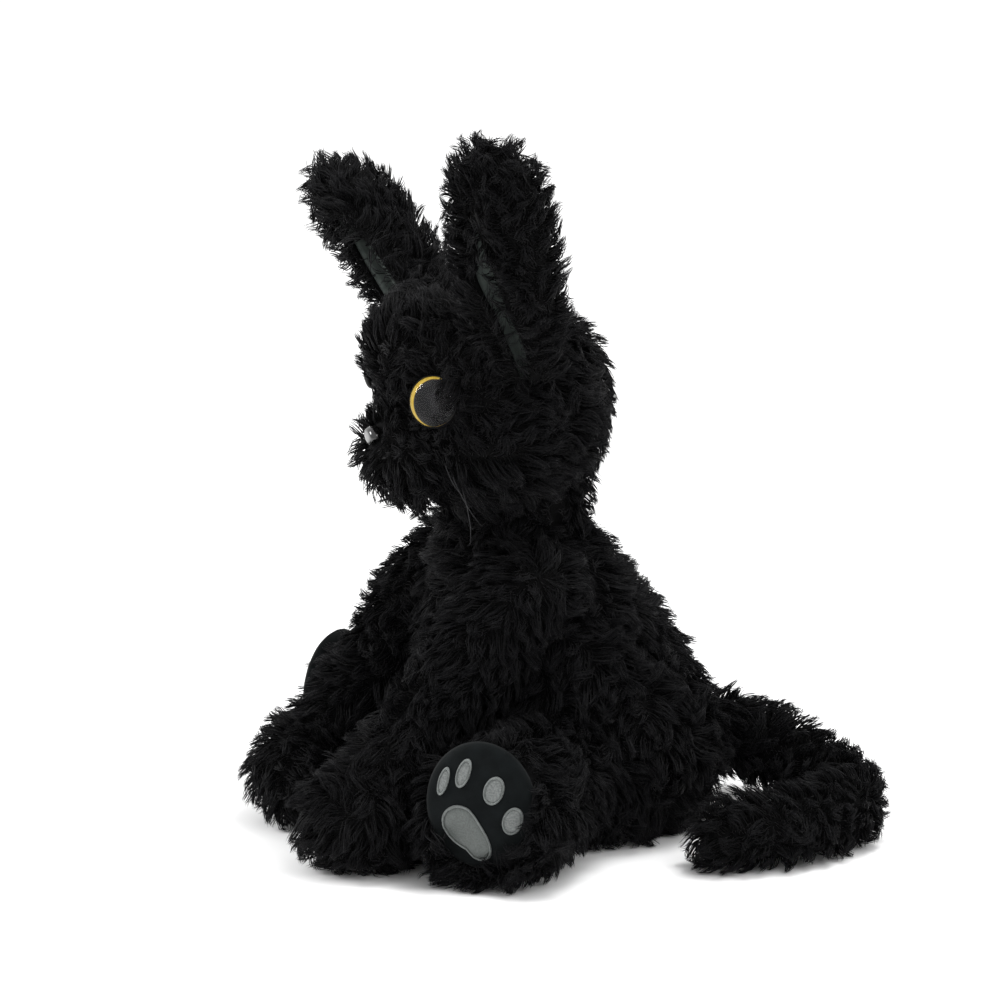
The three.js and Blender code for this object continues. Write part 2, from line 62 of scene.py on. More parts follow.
MM = 0.001
SIDES = ("left", "right")
HAND = {"left": 1, "right": -1}
JOINTS = {joint["name"]: joint for joint in frame["joints"]}
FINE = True


# ------------------------------------------------------------------ small helpers


def mesh_vectors(mesh, key):
    """A mesh's corner places ("co") or corner normals ("normal") as rows."""
    flat = np.empty(len(mesh.vertices) * 3)
    mesh.vertices.foreach_get(key, flat)
    return flat.reshape(-1, 3)


def points_of(node):
    """A CAD node's corners, in the frame's axes."""
    ob = frame["nodes"][node]
    world = np.array(ob.matrix_world)
    return mesh_vectors(ob.data, "co") @ world[:3, :3].T + world[:3, 3]


def middle(node):
    low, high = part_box(node)
    return (np.array(low) + np.array(high)) / 2


def unit(v):
    v = np.asarray(v, float)
    return v / np.maximum(np.linalg.norm(v, axis=-1, keepdims=True), 1e-12)


def flat_frame(node, outward_from):
    """The centre, outward normal, level axis and rising axis of a flat round node."""
    p = points_of(node)
    centre = (p.min(0) + p.max(0)) / 2
    _, axes = np.linalg.eigh(np.cov((p - centre).T))
    normal = axes[:, 0]
    if normal @ (centre - outward_from) < 0:
        normal = -normal
    across = unit(np.cross((0, 0, 1), normal))
    return centre, normal, across, np.cross(normal, across)


def frame_matrix(centre, normal, across, up):
    m = Matrix.Identity(4)
    for i, column in enumerate((across, up, normal)):
        for row in range(3):
            m[row][i] = column[row]
    m.translation = Vector(centre)
    return m


def new_object(name, data, material=None):
    ob = bpy.data.objects.new(name, data)
    bpy.context.scene.collection.objects.link(ob)
    if material is not None:
        ob.data.materials.append(material)
    return ob


def shade_smooth(mesh):
    mesh.polygons.foreach_set("use_smooth", np.ones(len(mesh.polygons), bool))


def applied(ob):
    """The object with its modifiers made part of its mesh."""
    graph = bpy.context.evaluated_depsgraph_get()
    mesh = bpy.data.meshes.new_from_object(ob.evaluated_get(graph), depsgraph=graph)
    ob.modifiers.clear()
    ob.data = mesh
    return ob


def edit_mesh(mesh, change):
    """Lets a function change a mesh's bmesh."""
    bm = bmesh.new()
    bm.from_mesh(mesh)
    change(bm)
    bm.to_mesh(mesh)
    bm.free()


def closed_mesh(name, verts, faces, matrix=None):
    """A smooth closed mesh from points and faces, moved by a matrix, with its faces turned outwards."""
    mesh = bpy.data.meshes.new(name)
    mesh.from_pydata([tuple(v) for v in verts], [], faces)
    if matrix is not None:
        mesh.transform(matrix)
    edit_mesh(mesh, lambda bm: bmesh.ops.recalc_face_normals(bm, faces=bm.faces))
    shade_smooth(mesh)
    return mesh


def round_angles(sides):
    return [2 * math.pi * k / sides for k in range(sides)]


def capped_rings(rings, sides):
    """Faces over rings of points, closed by a point before the first ring and one after the last."""
    faces = []
    last = 1 + (rings - 1) * sides
    for k in range(sides):
        n = (k + 1) % sides
        faces.append((0, 1 + k, 1 + n))
        for a in range(1, last, sides):
            faces.append((a + k, a + sides + k, a + sides + n, a + n))
        faces.append((last + sides, last + n, last + k))
    return faces


def tube_points(line, radii, sides, over, flat=1.0):
    """Points of a tube along a line: its first point, a ring at every point, and its last point."""
    line = np.array(line, float)
    ahead = unit(np.gradient(line, axis=0))
    side = unit(np.cross(ahead, over))
    other = np.cross(side, ahead) * flat
    points = [line[0]]
    for at, radius, x, y in zip(line, radii, side, other):
        points += [at + radius * (math.cos(a) * x + math.sin(a) * y) for a in round_angles(sides)]
    return points + [line[-1]]


def along_plane(gap, normal):
    """The part of each gap that lies along a plane, and its height out of the plane."""
    height = gap @ normal
    return gap - np.outer(height, normal), height


class Waves:
    """A smooth random field: sums of plane waves, the same on every run."""

    def __init__(self, seed, size, count=14, outputs=3):
        rng = np.random.default_rng(seed)
        self.ways = rng.normal(size=(count, 3)) * (2 * math.pi / size / 1.7)
        self.phases = rng.uniform(0, 2 * math.pi, count)
        self.mix = rng.normal(size=(count, outputs)) / math.sqrt(count / 2)

    def __call__(self, places):
        return np.sin(places @ self.ways.T + self.phases) @ self.mix


# ------------------------------------------------------------------ materials


def set_inputs(node, values):
    for key, value in values.items():
        node.inputs[key.replace("_", " ")].default_value = value


def new_material(name, **values):
    """A material, its tree and its shader, whose inputs are given by name with _ for a space."""
    material = bpy.data.materials.new(name)
    material.use_nodes = True
    shader = material.node_tree.nodes["Principled BSDF"]
    set_inputs(shader, values)
    return material, material.node_tree, shader


def add_node(tree, kind, **values):
    node = tree.nodes.new(kind)
    set_inputs(node, values)
    return node


def ramp(tree, source, stops):
    node = tree.nodes.new("ShaderNodeValToRGB")
    tree.links.new(source, node.inputs["Fac"])
    elements = node.color_ramp.elements
    while len(elements) < len(stops):
        elements.new(0.5)
    for element, (place, colour) in zip(elements, stops):
        element.position = place
        element.color = (*colour, 1)
    return node.outputs["Color"]


def ranged(tree, source, low, high):
    """A value between 0 and 1 spread from low to high."""
    node = add_node(tree, "ShaderNodeMapRange", To_Min=low, To_Max=high)
    tree.links.new(source, node.inputs["Value"])
    return node.outputs["Result"]


def noise_value(tree, scale, detail):
    where = tree.nodes.new("ShaderNodeTexCoord")
    node = add_node(tree, "ShaderNodeTexNoise", Scale=scale, Detail=detail)
    tree.links.new(where.outputs["Object"], node.inputs["Vector"])
    return node.outputs["Fac"]


def mesh_value(tree, name):
    """A value that the mesh carries at its points."""
    node = tree.nodes.new("ShaderNodeAttribute")
    node.attribute_name = name
    return node.outputs["Fac"]


def bump(tree, shader, height, strength, depth):
    node = add_node(tree, "ShaderNodeBump", Strength=strength, Distance=depth)
    tree.links.new(height, node.inputs["Height"])
    tree.links.new(node.outputs["Normal"], shader.inputs["Normal"])


def fur_material():
    """Black fibres with painted shade: darkest at the root, deep in the pile, and slightly greyer towards the tip.
    """
    material, tree, shader = new_material(
        "black_plush_fibre", Roughness=0.5, Specular_IOR_Level=0.09, Sheen_Weight=0.03, Sheen_Roughness=0.4
    )
    # painted shade: the ramp runs from near black at the root to grey at the tip
    colour = ramp(tree, mesh_value(tree, "fur_tone_and_root_shade"), [
        (0.0, (0.0006, 0.0006, 0.0008)), (0.5, (0.0022, 0.0022, 0.0028)), (1.0, (0.008, 0.008, 0.0095)),
    ])
    tree.links.new(colour, shader.inputs["Base Color"])
    return material


def speckled_material(name, scale, detail, dark, light, relief=None, **values):
    """One speckle between two colours, raised by a strength and a depth if they are given."""
    material, tree, shader = new_material(name, **values)
    speckle = noise_value(tree, scale, detail)
    colour = ramp(tree, speckle, [(0.3, dark), (0.7, light)])
    tree.links.new(colour, shader.inputs["Base Color"])
    if relief is not None:
        bump(tree, shader, speckle, *relief)
    return material


def suede_material(name, dark, light, sheen):
    """Short brushed pile, blotched where it is stroked both ways."""
    material, tree, shader = new_material(
        name, Roughness=0.85, Specular_IOR_Level=0.08, Sheen_Weight=sheen, Sheen_Roughness=0.5
    )
    nap = noise_value(tree, 160.0, 4.0)
    grain = noise_value(tree, 2600.0, 2.0)
    both = add_node(tree, "ShaderNodeMath")
    both.operation = "MULTIPLY_ADD"
    tree.links.new(grain, both.inputs[0])
    both.inputs[1].default_value = 0.35
    tree.links.new(nap, both.inputs[2])
    colour = ramp(tree, both.outputs[0], [(0.35, dark), (0.95, light)])
    tree.links.new(colour, shader.inputs["Base Color"])
    bump(tree, shader, grain, 0.5, 0.15 * MM)
    return material


def thread_material(name, dark, light):
    """Shiny embroidery thread, a little different from stitch to stitch."""
    return speckled_material(
        name, 1500.0, 2.0, dark, light, Roughness=0.45, Specular_IOR_Level=0.5, Sheen_Weight=0.15
    )


def plastic_material(name, dark, light, roughness, coat=0.0, specular=0.5):
    """Moulded plastic with faint wear in its gloss."""
    material, tree, shader = new_material(
        name, Specular_IOR_Level=specular, Coat_Weight=coat, Coat_Roughness=0.03
    )
    wear = noise_value(tree, 90.0, 5.0)
    tree.links.new(ramp(tree, wear, [(0.3, dark), (0.7, light)]), shader.inputs["Base Color"])
    gloss = ranged(tree, wear, roughness * 0.7, roughness * 1.3)
    tree.links.new(gloss, shader.inputs["Roughness"])
    return material


def iris_material():
    """Gold paint, streaked outwards, round a wide pupil clouded with a painted dull reflection."""
    material, tree, shader = new_material("iris_gold", Roughness=0.6, Specular_IOR_Level=0.0)
    gold = ramp(tree, mesh_value(tree, "streak"), [
        (0.0, (0.50, 0.27, 0.025)), (0.5, (0.72, 0.47, 0.06)), (1.0, (0.9, 0.68, 0.16)),
    ])
    edge = ramp(tree, mesh_value(tree, "radius_share"), [
        (0.0, (0, 0, 0)), (PUPIL_SHARE - 0.01, (0, 0, 0)), (PUPIL_SHARE + 0.02, (1, 1, 1)),
    ])
    # painted reflection: soft grey clouds on the black pupil stand in for a dull reflection of the studio
    painted_reflection = noise_value(tree, 110.0, 1.0)
    pupil = ramp(tree, painted_reflection, [(0.35, (0.02, 0.02, 0.021)), (0.7, (0.05, 0.05, 0.052))])
    both = tree.nodes.new("ShaderNodeMix")
    both.data_type = "RGBA"
    tree.links.new(edge, both.inputs["Factor"])
    tree.links.new(pupil, both.inputs[6])
    tree.links.new(gold, both.inputs[7])
    tree.links.new(both.outputs[2], shader.inputs["Base Color"])
    return material


def clear_material():
    """Clear acrylic."""
    material, tree, shader = new_material(
        "eye_lens", Base_Color=(0.97, 0.97, 0.97, 1), Transmission_Weight=1.0, IOR=1.16
    )
    haze = ranged(tree, noise_value(tree, 60.0, 4.0), 0.005, 0.04)
    tree.links.new(haze, shader.inputs["Roughness"])
    return material


PUPIL_SHARE = 0.91  # the pupil's radius over the painted disc's
PUPIL_SHIFT = 0.08  # how far the pupil's middle lies outwards, over the disc's radius
FUR = fur_material()
BACKING = speckled_material(
    "plush_backing", 900.0, 3.0, (0.0008, 0.0008, 0.0009), (0.004, 0.004, 0.0042),
    relief=(0.6, 0.4 * MM), Roughness=0.95, Specular_IOR_Level=0.1,
)
EAR_SUEDE = suede_material("ear_suede", (0.021, 0.026, 0.024), (0.052, 0.061, 0.056), 0.05)
SOLE_SUEDE = suede_material("sole_suede", (0.0015, 0.0022, 0.0024), (0.0045, 0.006, 0.0065), 0.03)
THREAD = thread_material("embroidery", (0.045, 0.051, 0.048), (0.082, 0.093, 0.088))
TOE_THREAD = thread_material("embroidery_toe", (0.07, 0.077, 0.075), (0.16, 0.172, 0.168))
EDGE_THREAD = thread_material("embroidery_edge", (0.09, 0.1, 0.096), (0.16, 0.175, 0.17))
BLACK_PLASTIC = plastic_material("black_plastic", (0.002, 0.002, 0.002), (0.004, 0.004, 0.004), 0.09, 0.6)
RIM_PLASTIC = plastic_material(
    "rim_plastic", (0.0015, 0.0015, 0.0015), (0.003, 0.003, 0.003), 0.45, specular=0.12
)
WASHER = plastic_material("washer_plastic", (0.62, 0.62, 0.61), (0.75, 0.75, 0.74), 0.45)
NYLON = plastic_material("nylon", (0.014, 0.014, 0.015), (0.03, 0.03, 0.032), 0.55, specular=0.2)
IRIS = iris_material()
CLEAR = clear_material()
FIBRE = speckled_material(
    "fibre_fill", 220.0, 6.0, (0.62, 0.61, 0.58), (0.88, 0.87, 0.84),
    relief=(0.8, 1.0 * MM), Roughness=0.95, Sheen_Weight=0.3,
)
PELLET_CLOTH = suede_material("pellet_cloth", (0.45, 0.43, 0.38), (0.62, 0.6, 0.54), 0.1)


# ------------------------------------------------------------------ padded bases


def joined_mesh(name, nodes):
    """The CAD nodes' corners and faces in one new mesh."""
    mesh = bpy.data.meshes.new(name)

    def add_nodes(bm):
        for node in nodes:
            ob = frame["nodes"][node]
            part = ob.data.copy()
            part.transform(ob.matrix_world)
            bm.from_mesh(part)
            bpy.data.meshes.remove(part)

    edit_mesh(mesh, add_nodes)
    return mesh


def keep_outer_island(bm):
    """Deletes every island but the one with the widest box."""
    seen = set()
    islands = []
    for start in bm.verts:
        if start in seen:
            continue
        todo, island = [start], []
        seen.add(start)
        while todo:
            v = todo.pop()
            island.append(v)
            fresh = {edge.other_vert(v) for edge in v.link_edges} - seen
            seen |= fresh
            todo.extend(fresh)
        islands.append(island)

    def width(island):
        co = np.array([v.co for v in island])
        return float(np.linalg.norm(co.max(0) - co.min(0)))

    widest = max(islands, key=width)
    spare = [v for island in islands if island is not widest for v in island]
    bmesh.ops.delete(bm, geom=spare, context="VERTS")


def keep_hull(bm):
    """Leaves the convex form round a mesh, without the sockets cut into it."""
    result = bmesh.ops.convex_hull(bm, input=bm.verts)
    spare = result["geom_interior"] + result["geom_unused"]
    inside = {item for item in spare if isinstance(item, bmesh.types.BMVert)}
    bmesh.ops.delete(bm, geom=list(inside), context="VERTS")
    hull = {item for item in result["geom"] if isinstance(item, bmesh.types.BMFace)}
    bmesh.ops.delete(bm, geom=[face for face in bm.faces if face not in hull], context="FACES_ONLY")


LUMP_SIZE = 34 * MM
BACKING_FLOOR = 0.6 * MM  # the lowest that a backing may reach


def padded_base(
    name, nodes, voxel=2.4 * MM, rounds=14, sink=2.5 * MM, lumps=0.8 * MM, seed=1, hull=False, shape=None
):
    """A soft closed form over CAD nodes: remeshed, smoothed, a little lumpy, `sink` below the CAD surface."""
    ob = new_object(name, joined_mesh(name, nodes))
    if hull:
        edit_mesh(ob.data, keep_hull)
    remesh = ob.modifiers.new("remesh", "REMESH")
    remesh.mode = "VOXEL"
    remesh.voxel_size = voxel
    smooth = ob.modifiers.new("smooth", "SMOOTH")
    smooth.factor = 0.5
    smooth.iterations = rounds
    applied(ob)
    edit_mesh(ob.data, keep_outer_island)
    mesh = ob.data
    co, normal = mesh_vectors(mesh, "co"), mesh_vectors(mesh, "normal")
    swell = Waves(seed, LUMP_SIZE, outputs=1)(co) * lumps - sink
    co = co + normal * swell
    if shape is not None:
        co = shape(co)
    co[:, 2] = np.maximum(co[:, 2], BACKING_FLOOR)
    mesh.vertices.foreach_set("co", co.ravel())
    mesh.update()
    shade_smooth(mesh)
    return ob


# ------------------------------------------------------------------ fur


AREA = 1.55 * MM * MM if FINE else 3.2 * MM * MM  # of backing for each strand
LOCK_AREA = 26 * MM * MM  # and for each lock
RING_SHARES = np.array([0.0, 0.3, 0.6, 0.85])  # where a strand has its rings, from root to tip
SHARES = np.append(RING_SHARES, 1.0)
RING_WIDTHS = np.array([0.75, 1.0, 0.82, 0.5])
SWIRL_SIZE, FINE_SWIRL_SIZE = 26 * MM, 9 * MM  # over which the comb wanders
STRAND_LIMIT = 8800  # strands in one piece, so that it stays under 200,000 triangles
STRAND_RADIUS = 0.24 * MM
SWIRL, FINE_SWIRL = 0.75, 0.25  # how strongly the comb wanders, over its own length
CLUMP = 0.84  # how far a strand's tip is drawn to its lock
TIP_SPREAD = 0.18  # how much of the distance between their roots is left there
WAVE = 1.6 * MM  # how far a lock waves to each side
WAVES_IN_LOCK = 1.1
LOOSE = 0.5 * MM  # how far single tips stray from their lock
PILE_FLOOR = 0.5 * MM  # the lowest that a strand's middle line may reach


def sample_surface(mesh, spacing_area, rng):
    """Even random places on a mesh, with smooth normals."""
    mesh.calc_loop_triangles()
    count = len(mesh.loop_triangles)
    corners = np.empty(count * 3, np.int32)
    mesh.loop_triangles.foreach_get("vertices", corners)
    corners = corners.reshape(-1, 3)
    co, normals = mesh_vectors(mesh, "co"), mesh_vectors(mesh, "normal")
    a, b, c = (co[corners[:, k]] for k in range(3))
    area = np.linalg.norm(np.cross(b - a, c - a), axis=1) / 2
    total = int(area.sum() / spacing_area)
    edges = np.cumsum(area)
    steps = (np.arange(total) + rng.uniform(0, 1, total)) / total * edges[-1]
    pick = np.searchsorted(edges, steps).clip(0, count - 1)
    u, v = rng.uniform(0, 1, total), rng.uniform(0, 1, total)
    flip = u + v > 1
    u[flip], v[flip] = 1 - u[flip], 1 - v[flip]
    share = np.stack([1 - u - v, u, v], 1)[:, :, None]
    tri = corners[pick]
    return (co[tri] * share).sum(1), unit((normals[tri] * share).sum(1))


def paths(root, normal, comb, length, lift, fall):
    """Centre lines of strands that rise off the surface and bend over along the comb: strands, points, 3."""
    tangent = unit(comb - (comb * normal).sum(1, keepdims=True) * normal)
    steps = np.diff(SHARES, prepend=0.0)
    place = root.copy()
    line = []
    for share, step in zip(SHARES, steps):
        angle = lift + (fall - lift) * share
        way = normal * np.cos(angle)[:, None] + tangent * np.sin(angle)[:, None]
        place = place + way * (length * step)[:, None]
        line.append(place)
    return np.stack(line, 1), tangent


def grow_fur(name, base, style, seed, avoid=()):
    """Fur over a base, as pieces: strands drawn together into wavy locks, none of them inside `avoid`."""
    rng = np.random.default_rng(seed)
    root, normal = sample_surface(base.data, style["area"], rng)
    keep = style["where"](root, normal) if "where" in style else np.ones(len(root), bool)
    for tree in avoid:
        for i in np.nonzero(keep)[0]:
            place, facing, _, _ = tree.find_nearest(Vector(root[i]), 30 * MM)
            if place is not None and (Vector(root[i]) - place).dot(facing) < -1.5 * MM:
                keep[i] = False
    root, normal = root[keep], normal[keep]
    swirl = Waves(seed + 1, SWIRL_SIZE)
    fine = Waves(seed + 2, FINE_SWIRL_SIZE)

    def combed(at):
        return unit(style["comb"](at)) + style.get("swirl", SWIRL) * swirl(at) + FINE_SWIRL * fine(at)

    def value(key, at):
        """A style's value at each place: it may be a number or a function."""
        found = style.get(key, 0.0)
        return found(at) if callable(found) else np.full(len(at), found)

    lock_at, lock_normal = sample_surface(base.data, style["lock_area"], rng)
    if "lock_where" in style:
        open_here = style["lock_where"](lock_at, lock_normal)
        lock_at, lock_normal = lock_at[open_here], lock_normal[open_here]
    lock_length = value("length", lock_at) * rng.uniform(0.85, 1.2, len(lock_at))
    lock_lift = rng.uniform(0.1, 0.55, len(lock_at))
    lock_fall = lock_lift + rng.uniform(0.55, 1.15, len(lock_at)) + value("lay", lock_at)
    lock_comb = combed(lock_at) + rng.normal(0, 0.35, (len(lock_at), 3))
    lock_line, _ = paths(lock_at, lock_normal, lock_comb, lock_length, lock_lift, lock_fall)
    lock_phase = rng.uniform(0, 2 * math.pi, len(lock_at))

    tree = KDTree(len(lock_at))
    for i, place in enumerate(lock_at):
        tree.insert(place, i)
    tree.balance()
    mine = np.array([tree.find(place)[1] for place in root])

    count = len(root)
    length = value("length", root) * rng.uniform(0.75, 1.15, count)
    lift = lock_lift[mine] + rng.normal(0, 0.12, count)
    fall = lock_fall[mine] + rng.normal(0, 0.15, count)
    line, tangent = paths(root, normal, combed(root) + rng.normal(0, 0.25, (count, 3)), length, lift, fall)
    pull = (style.get("clump", CLUMP) * SHARES**1.2)[None, :, None]
    offset = (root - lock_at[mine])[:, None, :]
    line = line * (1 - pull) + (lock_line[mine] + offset * TIP_SPREAD) * pull
    across = np.cross(normal, tangent)
    wave = np.sin(lock_phase[mine][:, None] + SHARES * 2 * math.pi * WAVES_IN_LOCK) * SHARES
    line = line + across[:, None, :] * (wave * WAVE)[:, :, None]
    loose = rng.normal(0, 1, (count, 3))
    line = line + loose[:, None, :] * (SHARES[:, None] ** 2) * LOOSE
    floor = PILE_FLOOR + rng.uniform(0, 0.8 * MM, count)
    line[:, :, 2] = np.maximum(line[:, :, 2], floor[:, None])
    return strand_pieces(name, line, across, style, rng)


def strand_pieces(name, line, across, style, rng):
    """Closed three-sided tapering strands as meshes of at most STRAND_LIMIT strands each."""
    count = len(line)
    rings = len(RING_SHARES)
    width = STRAND_RADIUS * rng.uniform(0.7, 1.3, count)
    ahead = unit(np.roll(line, -1, axis=1)[:, :rings] - line[:, :rings])
    side = unit(across[:, None, :] - (across[:, None, :] * ahead).sum(2, keepdims=True) * ahead)
    other = np.cross(ahead, side)
    turn = rng.uniform(0, 2 * math.pi, count)[:, None, None]
    corners = []
    for k in range(3):
        angle = turn + k * 2 * math.pi / 3
        spread = (width[:, None] * RING_WIDTHS[None, :])[:, :, None]
        corners.append(line[:, :rings] + (np.cos(angle) * side + np.sin(angle) * other) * spread)
    body = np.stack(corners, 2).reshape(count, rings * 3, 3)
    verts = np.concatenate([body, line[:, -1:, :]], 1)
    verts[:, :, 2] = np.maximum(verts[:, :, 2], 0.2 * MM)
    shade = rng.uniform(0.0, 0.45, count)
    height = np.append(np.repeat(RING_SHARES, 3), 1.0)
    # painted shade: each strand darkens towards its root, deep in the pile; shade is a random tone for each strand
    tone = np.clip(shade[:, None] * 0.8 + 0.55 * height[None, :] ** 1.5, 0, 1)

    faces = [(2, 1, 0)]
    for ring in range(rings - 1):
        for k in range(3):
            a, b = ring * 3 + k, ring * 3 + (k + 1) % 3
            faces.append((a, b, b + 3, a + 3))
    top = (rings - 1) * 3
    for k in range(3):
        faces.append((top + k, top + (k + 1) % 3, rings * 3))
    flat = np.array([corner for face in faces for corner in face])
    starts = np.cumsum([0] + [len(face) for face in faces])[:-1]
    pieces = []
    parts = max(1, math.ceil(count / STRAND_LIMIT))
    order = np.argsort(line[:, 0, :] @ np.array(style.get("split_along", (0.2, 0.3, 1.0))), kind="stable")
    for part, chosen in enumerate(np.array_split(order, parts)):
        n = len(chosen)
        mesh = bpy.data.meshes.new(f"{name}_{part + 1}")
        mesh.vertices.add(n * verts.shape[1])
        mesh.vertices.foreach_set("co", verts[chosen].astype(np.float32).ravel())
        mesh.loops.add(n * len(flat))
        loops = (flat[None, :] + np.arange(n)[:, None] * verts.shape[1]).ravel()
        mesh.loops.foreach_set("vertex_index", loops.astype(np.int32))
        mesh.polygons.add(n * len(starts))
        begin = (starts[None, :] + np.arange(n)[:, None] * len(flat)).ravel()
        mesh.polygons.foreach_set("loop_start", begin.astype(np.int32))
        mesh.update(calc_edges=True)
        shade_smooth(mesh)
        attribute = mesh.attributes.new("fur_tone_and_root_shade", "FLOAT", "POINT")
        attribute.data.foreach_set("value", tone[chosen].astype(np.float32).ravel())
        pieces.append(new_object(f"{name}_{part + 1}" if parts > 1 else name, mesh, FUR))
    return pieces


SOFT_JOINTS = {
    "left_arm": "left_shoulder", "right_arm": "right_shoulder",
    "left_leg": "left_hip", "right_leg": "right_hip",
    "tail_1": "tail_root", "tail_2": "tail_middle", "tail_3": "tail_tip",
}


def follow(pieces, body, joint=None):
    """Rides the pieces on a body; given a joint, it only fixes their placement into their meshes and puts them on
    no body.
    """
    for ob in pieces:
        if joint is None:
            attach(ob, body)
            continue
        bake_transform(ob)


def tree_of(ob):
    places = [v.co.copy() for v in ob.data.vertices]
    return BVHTree.FromPolygons(places, [tuple(p.vertices) for p in ob.data.polygons])


# ------------------------------------------------------------------ where things are

HEAD_MIDDLE = middle("head_skin")
NOSE_LOW, NOSE_HIGH = (np.array(corner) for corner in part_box("nose"))
NOSE_HALF = ((NOSE_HIGH[0] - NOSE_LOW[0]) / 2, (NOSE_HIGH[2] - NOSE_LOW[2]) / 2)
NOSE_MIDDLE = middle("nose")
NOSE_AT = np.array((NOSE_MIDDLE[0], NOSE_LOW[1] + 5 * MM, NOSE_MIDDLE[2]))
EYES = {side: flat_frame(f"{side}_eye_iris", HEAD_MIDDLE) for side in SIDES}
EYE_SINK = 3.0 * MM  # how far the visible eye is pulled into the fur
EYE_SHIFT = 0.5 * MM  # how far it sits outwards
EYE_DROP = 1.5 * MM  # and how far down
MUZZLE_DEPTH = 25 * MM  # how far behind the nose the muzzle ends
SOLE_LIFT = 2.0 * MM  # how far the visible sole lies above the CAD one
SOLE_SHRINK = (0.94, 0.97)  # its size over the CAD one, across and up


def radius_of(node, centre, normal):
    flat, _ = along_plane(points_of(node) - centre, normal)
    return float(np.linalg.norm(flat, axis=1).max())


def sole_place(side):
    """The visible sole's centre, outward normal, level axis and rising axis, and its half sizes."""
    centre, normal, across, up = flat_frame(f"{side}_sole", middle(f"{side}_leg_stuffing"))
    gap = points_of(f"{side}_sole") - centre
    half = [float(np.abs(gap @ way).max()) * shrink for way, shrink in zip((across, up), SOLE_SHRINK)]
    return (centre + up * SOLE_LIFT, normal, across, up), half


EYE_RADIUS = {side: radius_of(f"{side}_eye_cup", *EYES[side][:2]) for side in SIDES}
SOLES, SOLE_HALF = {}, {}
for SIDE in SIDES:
    SOLES[SIDE], SOLE_HALF[SIDE] = sole_place(SIDE)


def from_eye(side, at):
    """Where places lie along an eye's plane from its middle, and how far out of that plane."""
    centre, normal, _, up = EYES[side]
    return along_plane(at - centre + up * EYE_DROP, normal)


def beside_eyes(at):
    """True where a place is not over an eye."""
    clear = np.ones(len(at), bool)
    for side in SIDES:
        off, height = from_eye(side, at)
        clear &= ~((np.linalg.norm(off, axis=1) < EYE_RADIUS[side] - 0.5 * MM) & (height > -25 * MM))
    return clear


# ------------------------------------------------------------------ the fur-clad parts


def above_floor(at, normal):
    """False on an underside that rests on the floor."""
    return ~((normal[:, 2] < -0.8) & (at[:, 2] < 4 * MM))


def along(way):
    """A comb that is the same everywhere."""
    return lambda at: np.tile(np.array(way, float), (len(at), 1))


def body_comb(at):
    """Down, and a little out from the trunk's middle."""
    out = at - middle("body_skin")
    out[:, 2] = 0
    return unit(out) * 0.35 + np.array((0, 0, -1.0))


def by_rear_of_eye(at):
    """How strongly a place lies just behind an eye, and the way from there to the eye's middle."""
    share = np.zeros(len(at))
    way = np.zeros((len(at), 3))
    for side in SIDES:
        off, height = from_eye(side, at)
        reach = np.linalg.norm(off, axis=1)
        rear = np.clip(HAND[side] * (off @ EYES[side][2]) / np.maximum(reach, 1e-6) * 1.6, 0, 1)
        close = np.clip((EYE_RADIUS[side] + 9 * MM - reach) / (6 * MM), 0, 1)
        here = rear * close * (height > -20 * MM)
        share = np.maximum(share, here)
        way += unit(-off) * here[:, None]
    return share[:, None], way


def behind_eye(at, _):
    """True in a narrow band round the rear of each eye."""
    share, _ = by_rear_of_eye(at)
    return (share[:, 0] > 0.45) & beside_eyes(at)


def over_eye(at):
    """Forward over the rear of the eye."""
    _, way = by_rear_of_eye(at)
    return way + np.array((0, 0, -0.05))


def face_comb(at):
    """Back from the nose, down the back of the head, and forward over the rear of each eye."""
    gap = at - NOSE_AT
    back = unit(gap)
    down = np.clip((at[:, 1] - HEAD_MIDDLE[1]) / (40 * MM), 0, 1)[:, None]
    comb = back * (1 - 0.6 * down) + np.array((0, 0, -1.0)) * down
    comb = comb + np.array((0, 0, -0.8)) * chin_share(at)[:, None]
    share, way = by_rear_of_eye(at)
    return unit(comb) * (1 - share) + 1.5 * way


def by_nose(at):
    """From 0 to 1 towards the edge of the nose."""
    gap = at - NOSE_AT
    off = np.hypot(gap[:, 0], gap[:, 2]) - 6 * MM
    return np.clip(1 - off / (9 * MM), 0, 1) * (gap[:, 1] < MUZZLE_DEPTH)


def face_lay(at):
    """Upright round the nose, and well over behind the eyes."""
    rear, _ = by_rear_of_eye(at)
    return 0.1 - 0.8 * by_nose(at) + 0.55 * rear[:, 0]


def on_face(at, _):
    """True where a place is clear of the eyes and of the nose."""
    gap = at - NOSE_AT
    wide, tall = (half + 0.8 * MM for half in NOSE_HALF)
    off_nose = np.hypot(gap[:, 0] / wide, gap[:, 2] / tall) > 1
    return beside_eyes(at) & (off_nose | (gap[:, 1] > MUZZLE_DEPTH))


def chin_share(at):
    """From 0 to 1 towards the underside of the muzzle and the jaw."""
    low = np.clip((HEAD_MIDDLE[2] - 8 * MM - at[:, 2]) / (24 * MM), 0, 1)
    front = np.clip((HEAD_MIDDLE[1] - at[:, 1]) / (25 * MM), 0, 1)
    return low * front


# Lengths of the head's pile: on the muzzle, and what is added further back, behind an eye and on the chin.
MUZZLE_PILE, BACK_PILE, EYE_PILE, CHIN_PILE = 7.0 * MM, 5.0 * MM, 5.5 * MM, 5.0 * MM


def face_length(at):
    """Short on the muzzle and round the eyes, longer over the back and under the chin."""
    near_nose = np.linalg.norm(at - NOSE_AT, axis=1)
    near_eye = np.min([np.linalg.norm(at - EYES[side][0], axis=1) for side in SIDES], axis=0)
    share = np.clip(np.minimum((near_nose - 6 * MM) / (40 * MM), (near_eye - 12 * MM) / (26 * MM)), 0, 1)
    rear, _ = by_rear_of_eye(at)
    uneven = (1.2 - 2.6 * np.tanh(at[:, 0] / (5 * MM))) * MM * by_nose(at)
    return MUZZLE_PILE + BACK_PILE * share + EYE_PILE * rear[:, 0] + CHIN_PILE * chin_share(at) + uneven


BASES = {}
TREES = {}


